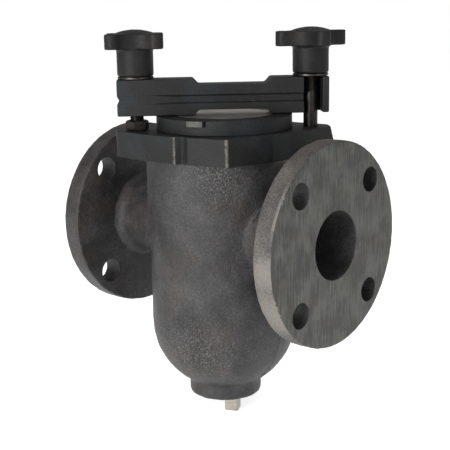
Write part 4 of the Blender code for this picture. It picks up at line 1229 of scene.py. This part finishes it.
def make_rim(mid_z, slope):
    """Ring cut from a round bar by the two planes of the sloping seat."""
    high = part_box("basket_rim")[1]
    slant = sqrt(1 + slope ** 2)
    rim = turned("rim", ring(35.6 * MM, high.y, -50 * MM, 60 * MM), 128, closed=True)
    work_on(rim)
    bpy.ops.object.mode_set(mode='EDIT')
    for height, way in ((mid_z + 4.3 * MM * slant, 1), (mid_z + 0.3 * MM * slant, -1)):
        bpy.ops.mesh.select_all(action='SELECT')
        bpy.ops.mesh.bisect(plane_co=(0.0, 0.0, height), plane_no=(-slope, 0.0, 1.0),
                            clear_outer=way > 0, clear_inner=way < 0)
        bpy.ops.mesh.bridge_edge_loops()
    face_out(rim)
    return eased(rim, 0.5 * MM, 2, 50.0)


def make_eye(node, mid_z, slope):
    """Upright eye on the rim, with a hole for a foot of the bail."""
    low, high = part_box(node)
    side = 1 if low.y > 0 else -1
    half = (high.x - low.x) / 2
    rim_top = high.z - 12.0 * MM
    eye = prism("eye", rounded([(-half, rim_top - 5 * MM, 0), (half, rim_top - 5 * MM, 0),
                                (half, high.z, 4.9 * MM), (-half, high.z, 4.9 * MM)], 10),
                -0.75 * MM, 0.75 * MM)
    hole = drill(2.3 * MM, -THROUGH, THROUGH, 40)
    combined(eye, placed(hole, at=(0.0, rim_top + 7 * MM, 0.0)), 'DIFFERENCE')
    placed(eye, pi / 2, 'X')
    placed(eye, at=(0.0, side * (abs(low.y) + abs(high.y)) / 2, 0.0))
    slant = sqrt(1 + slope ** 2)
    run = 20 * MM
    top = mid_z + 4.6 * MM * slant
    below = prism("below", [(-run, top - slope * run), (run, top + slope * run),
                            (run, top - 40 * MM), (-run, top - 40 * MM)], -0.06, 0.06)
    placed(below, pi / 2, 'X')
    combined(eye, below, 'DIFFERENCE')
    return eased(eye, 0.2 * MM, 2, 50.0)


class STRAINER_OT_basket(Operator):
    """Build the perforated basket with its rim, base, bail and eyes"""
    bl_idname = "strainer.basket"
    bl_label = "Basket"

    def execute(self, context):
        sizes = context.scene.strainer_basket
        low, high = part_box("basket_rim")
        slope = (high.z - low.z - 4.0 * MM) / (high.x - low.x)
        mid_z = (high.z + low.z) / 2 - 2.3 * MM * sqrt(1 + slope ** 2)
        steel = finish("stainless_rolled")
        screen = make_screen(sizes, mid_z, slope)
        finished(screen, "perforated_screen", [steel], "casing", ["basket_screen"],
                 60.0)
        low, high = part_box("basket_bottom")
        base = turned("base", [(high.x - 4 * MM, low.z), (high.x - 0.6 * MM, low.z),
                               (high.x, low.z + 0.5 * MM), (high.x, high.z),
                               (high.x - 4 * MM, high.z)], 96)
        finished(base, "basket_base", [steel], "casing", ["basket_bottom"])
        finished(make_rim(mid_z, slope), "basket_seat_ring", [steel], "casing",
                 ["basket_rim"])
        finished(make_bail(sizes), "wire_bail", [steel], "casing", ["basket_bail"])
        for node in ("bail_eye_1", "bail_eye_2"):
            finished(make_eye(node, mid_z, slope), "plate_" + node, [steel], "casing",
                     [node])
        return {'FINISHED'}


def area_light(name, place, target, size, power):
    """A round soft light that faces a target."""
    data = bpy.data.lights.new(name, 'AREA')
    data.shape = 'DISK'
    data.size = size
    data.energy = power
    lamp = bpy.data.objects.new(name, data)
    bpy.context.scene.collection.objects.link(lamp)
    lamp.location = place
    lamp.rotation_euler = (Vector(target) - Vector(place)).to_track_quat('-Z', 'Y').to_euler()
    return lamp


class STRAINER_OT_stage(Operator):
    """Lay the pale floor, hang the soft lights and set the camera"""
    bl_idname = "strainer.stage"
    bl_label = "Stage, lights and camera"

    def execute(self, context):
        scene = context.scene
        deselect_all()
        bpy.ops.mesh.primitive_circle_add(vertices=96, radius=6.0, fill_type='NGON',
                                          location=(0.0, 0.0, CAD_BOX[0].z - 0.4 * MM))
        floor = bpy.context.object
        floor.name = "studio_floor"
        bpy.ops.object.transform_apply(location=True)
        pale, tree, shader = blank("matt_white_paper", 0.0, 0.9)
        place = add_node(tree, 'ShaderNodeTexCoord').outputs["Object"]
        fibre = add_node(tree, 'ShaderNodeTexNoise', {"Scale": per(60), "Detail": 3.0},
                         {"Vector": place})
        floor_tint = scene.strainer_finishes.floor
        tone = add_node(tree, 'ShaderNodeMix',
                        {"data_type": 'RGBA', RGB_A: rgba([c * 0.985 for c in floor_tint]),
                         RGB_B: rgba(floor_tint)}, {0: fibre})
        feed(tree, shader, {"Base Color": tone.outputs[RGB_OUT]})
        shader.inputs["Emission Color"].default_value = rgba(floor_tint)
        shader.inputs["Emission Strength"].default_value = 0.68
        floor.data.materials.append(pale)

        world = bpy.data.worlds.new("white_studio")
        world.use_nodes = True
        sky = world.node_tree.nodes["Background"]
        sky.inputs["Color"].default_value = (1.0, 1.0, 1.0, 1.0)
        # The backdrop is seen as pure white, and lights the object more softly than that
        sight = add_node(world.node_tree, 'ShaderNodeLightPath')
        glow = add_node(world.node_tree, 'ShaderNodeMapRange', {"To Min": 0.36, "To Max": 1.0},
                        {"Value": sight})
        feed(world.node_tree, sky, {"Strength": glow})
        scene.world = world
        area_light("key_softbox", (0.15, -1.45, 0.3), (0.0, 0.0, 0.0), 0.8, 17.0)
        area_light("top_softbox", (0.1, 0.2, 1.5), (0.0, 0.0, 0.0), 1.2, 5.0)
        area_light("side_softbox", (1.5, -0.2, 0.6), (0.05, 0.0, 0.0), 0.8, 4.0)

        data = bpy.data.cameras.new("camera")
        data.lens = 77.3
        data.sensor_width = 36.0
        camera = bpy.data.objects.new("camera", data)
        scene.collection.objects.link(camera)
        yaw, pitch, roll = radians(41.605), radians(12.683), radians(-0.934)
        back = Vector((sin(yaw) * cos(pitch), -cos(yaw) * cos(pitch), sin(pitch)))
        right = Vector((cos(yaw), sin(yaw), 0.0))
        up = back.cross(right)
        tilted = right * cos(roll) + up * sin(roll)
        axes = Matrix((tilted, back.cross(tilted), back)).transposed().to_4x4()
        camera.matrix_world = Matrix.Translation((0.4960, -0.5597, 0.1690)) @ axes
        scene.camera = camera
        scene.view_settings.view_transform = 'Standard'
        return {'FINISHED'}


class STRAINER_PT_panel(Panel):
    """Lists the strainer's operators"""
    bl_idname = "STRAINER_PT_panel"
    bl_label = "Basket strainer"
    bl_space_type = 'VIEW_3D'
    bl_region_type = 'UI'
    bl_category = "Strainer"

    def draw(self, context):
        for step in STEPS:
            self.layout.operator(step.bl_idname)


GROUPS = {"strainer_casting": CastingSizes, "strainer_clamp": ClampSizes,
          "strainer_basket": BasketSizes, "strainer_finishes": Finishes}
STEPS = (STRAINER_OT_stage, STRAINER_OT_casting, STRAINER_OT_top_flange,
         STRAINER_OT_pipe_flanges, STRAINER_OT_cover, STRAINER_OT_yoke, STRAINER_OT_studs,
         STRAINER_OT_washers, STRAINER_OT_knobs, STRAINER_OT_drain_plug, STRAINER_OT_basket)
CLASSES = (*GROUPS.values(), *STEPS, STRAINER_PT_panel)


def register():
    for made in CLASSES:
        bpy.utils.register_class(made)
    for name, group in GROUPS.items():
        setattr(bpy.types.Scene, name, PointerProperty(type=group))


def unregister():
    for name in GROUPS:
        delattr(bpy.types.Scene, name)
    for made in reversed(CLASSES):
        bpy.utils.unregister_class(made)


def main():
    register()
    for step in STEPS:
        getattr(bpy.ops.strainer, step.bl_idname.split(".")[1])()


if __name__ == "__main__":
    main()
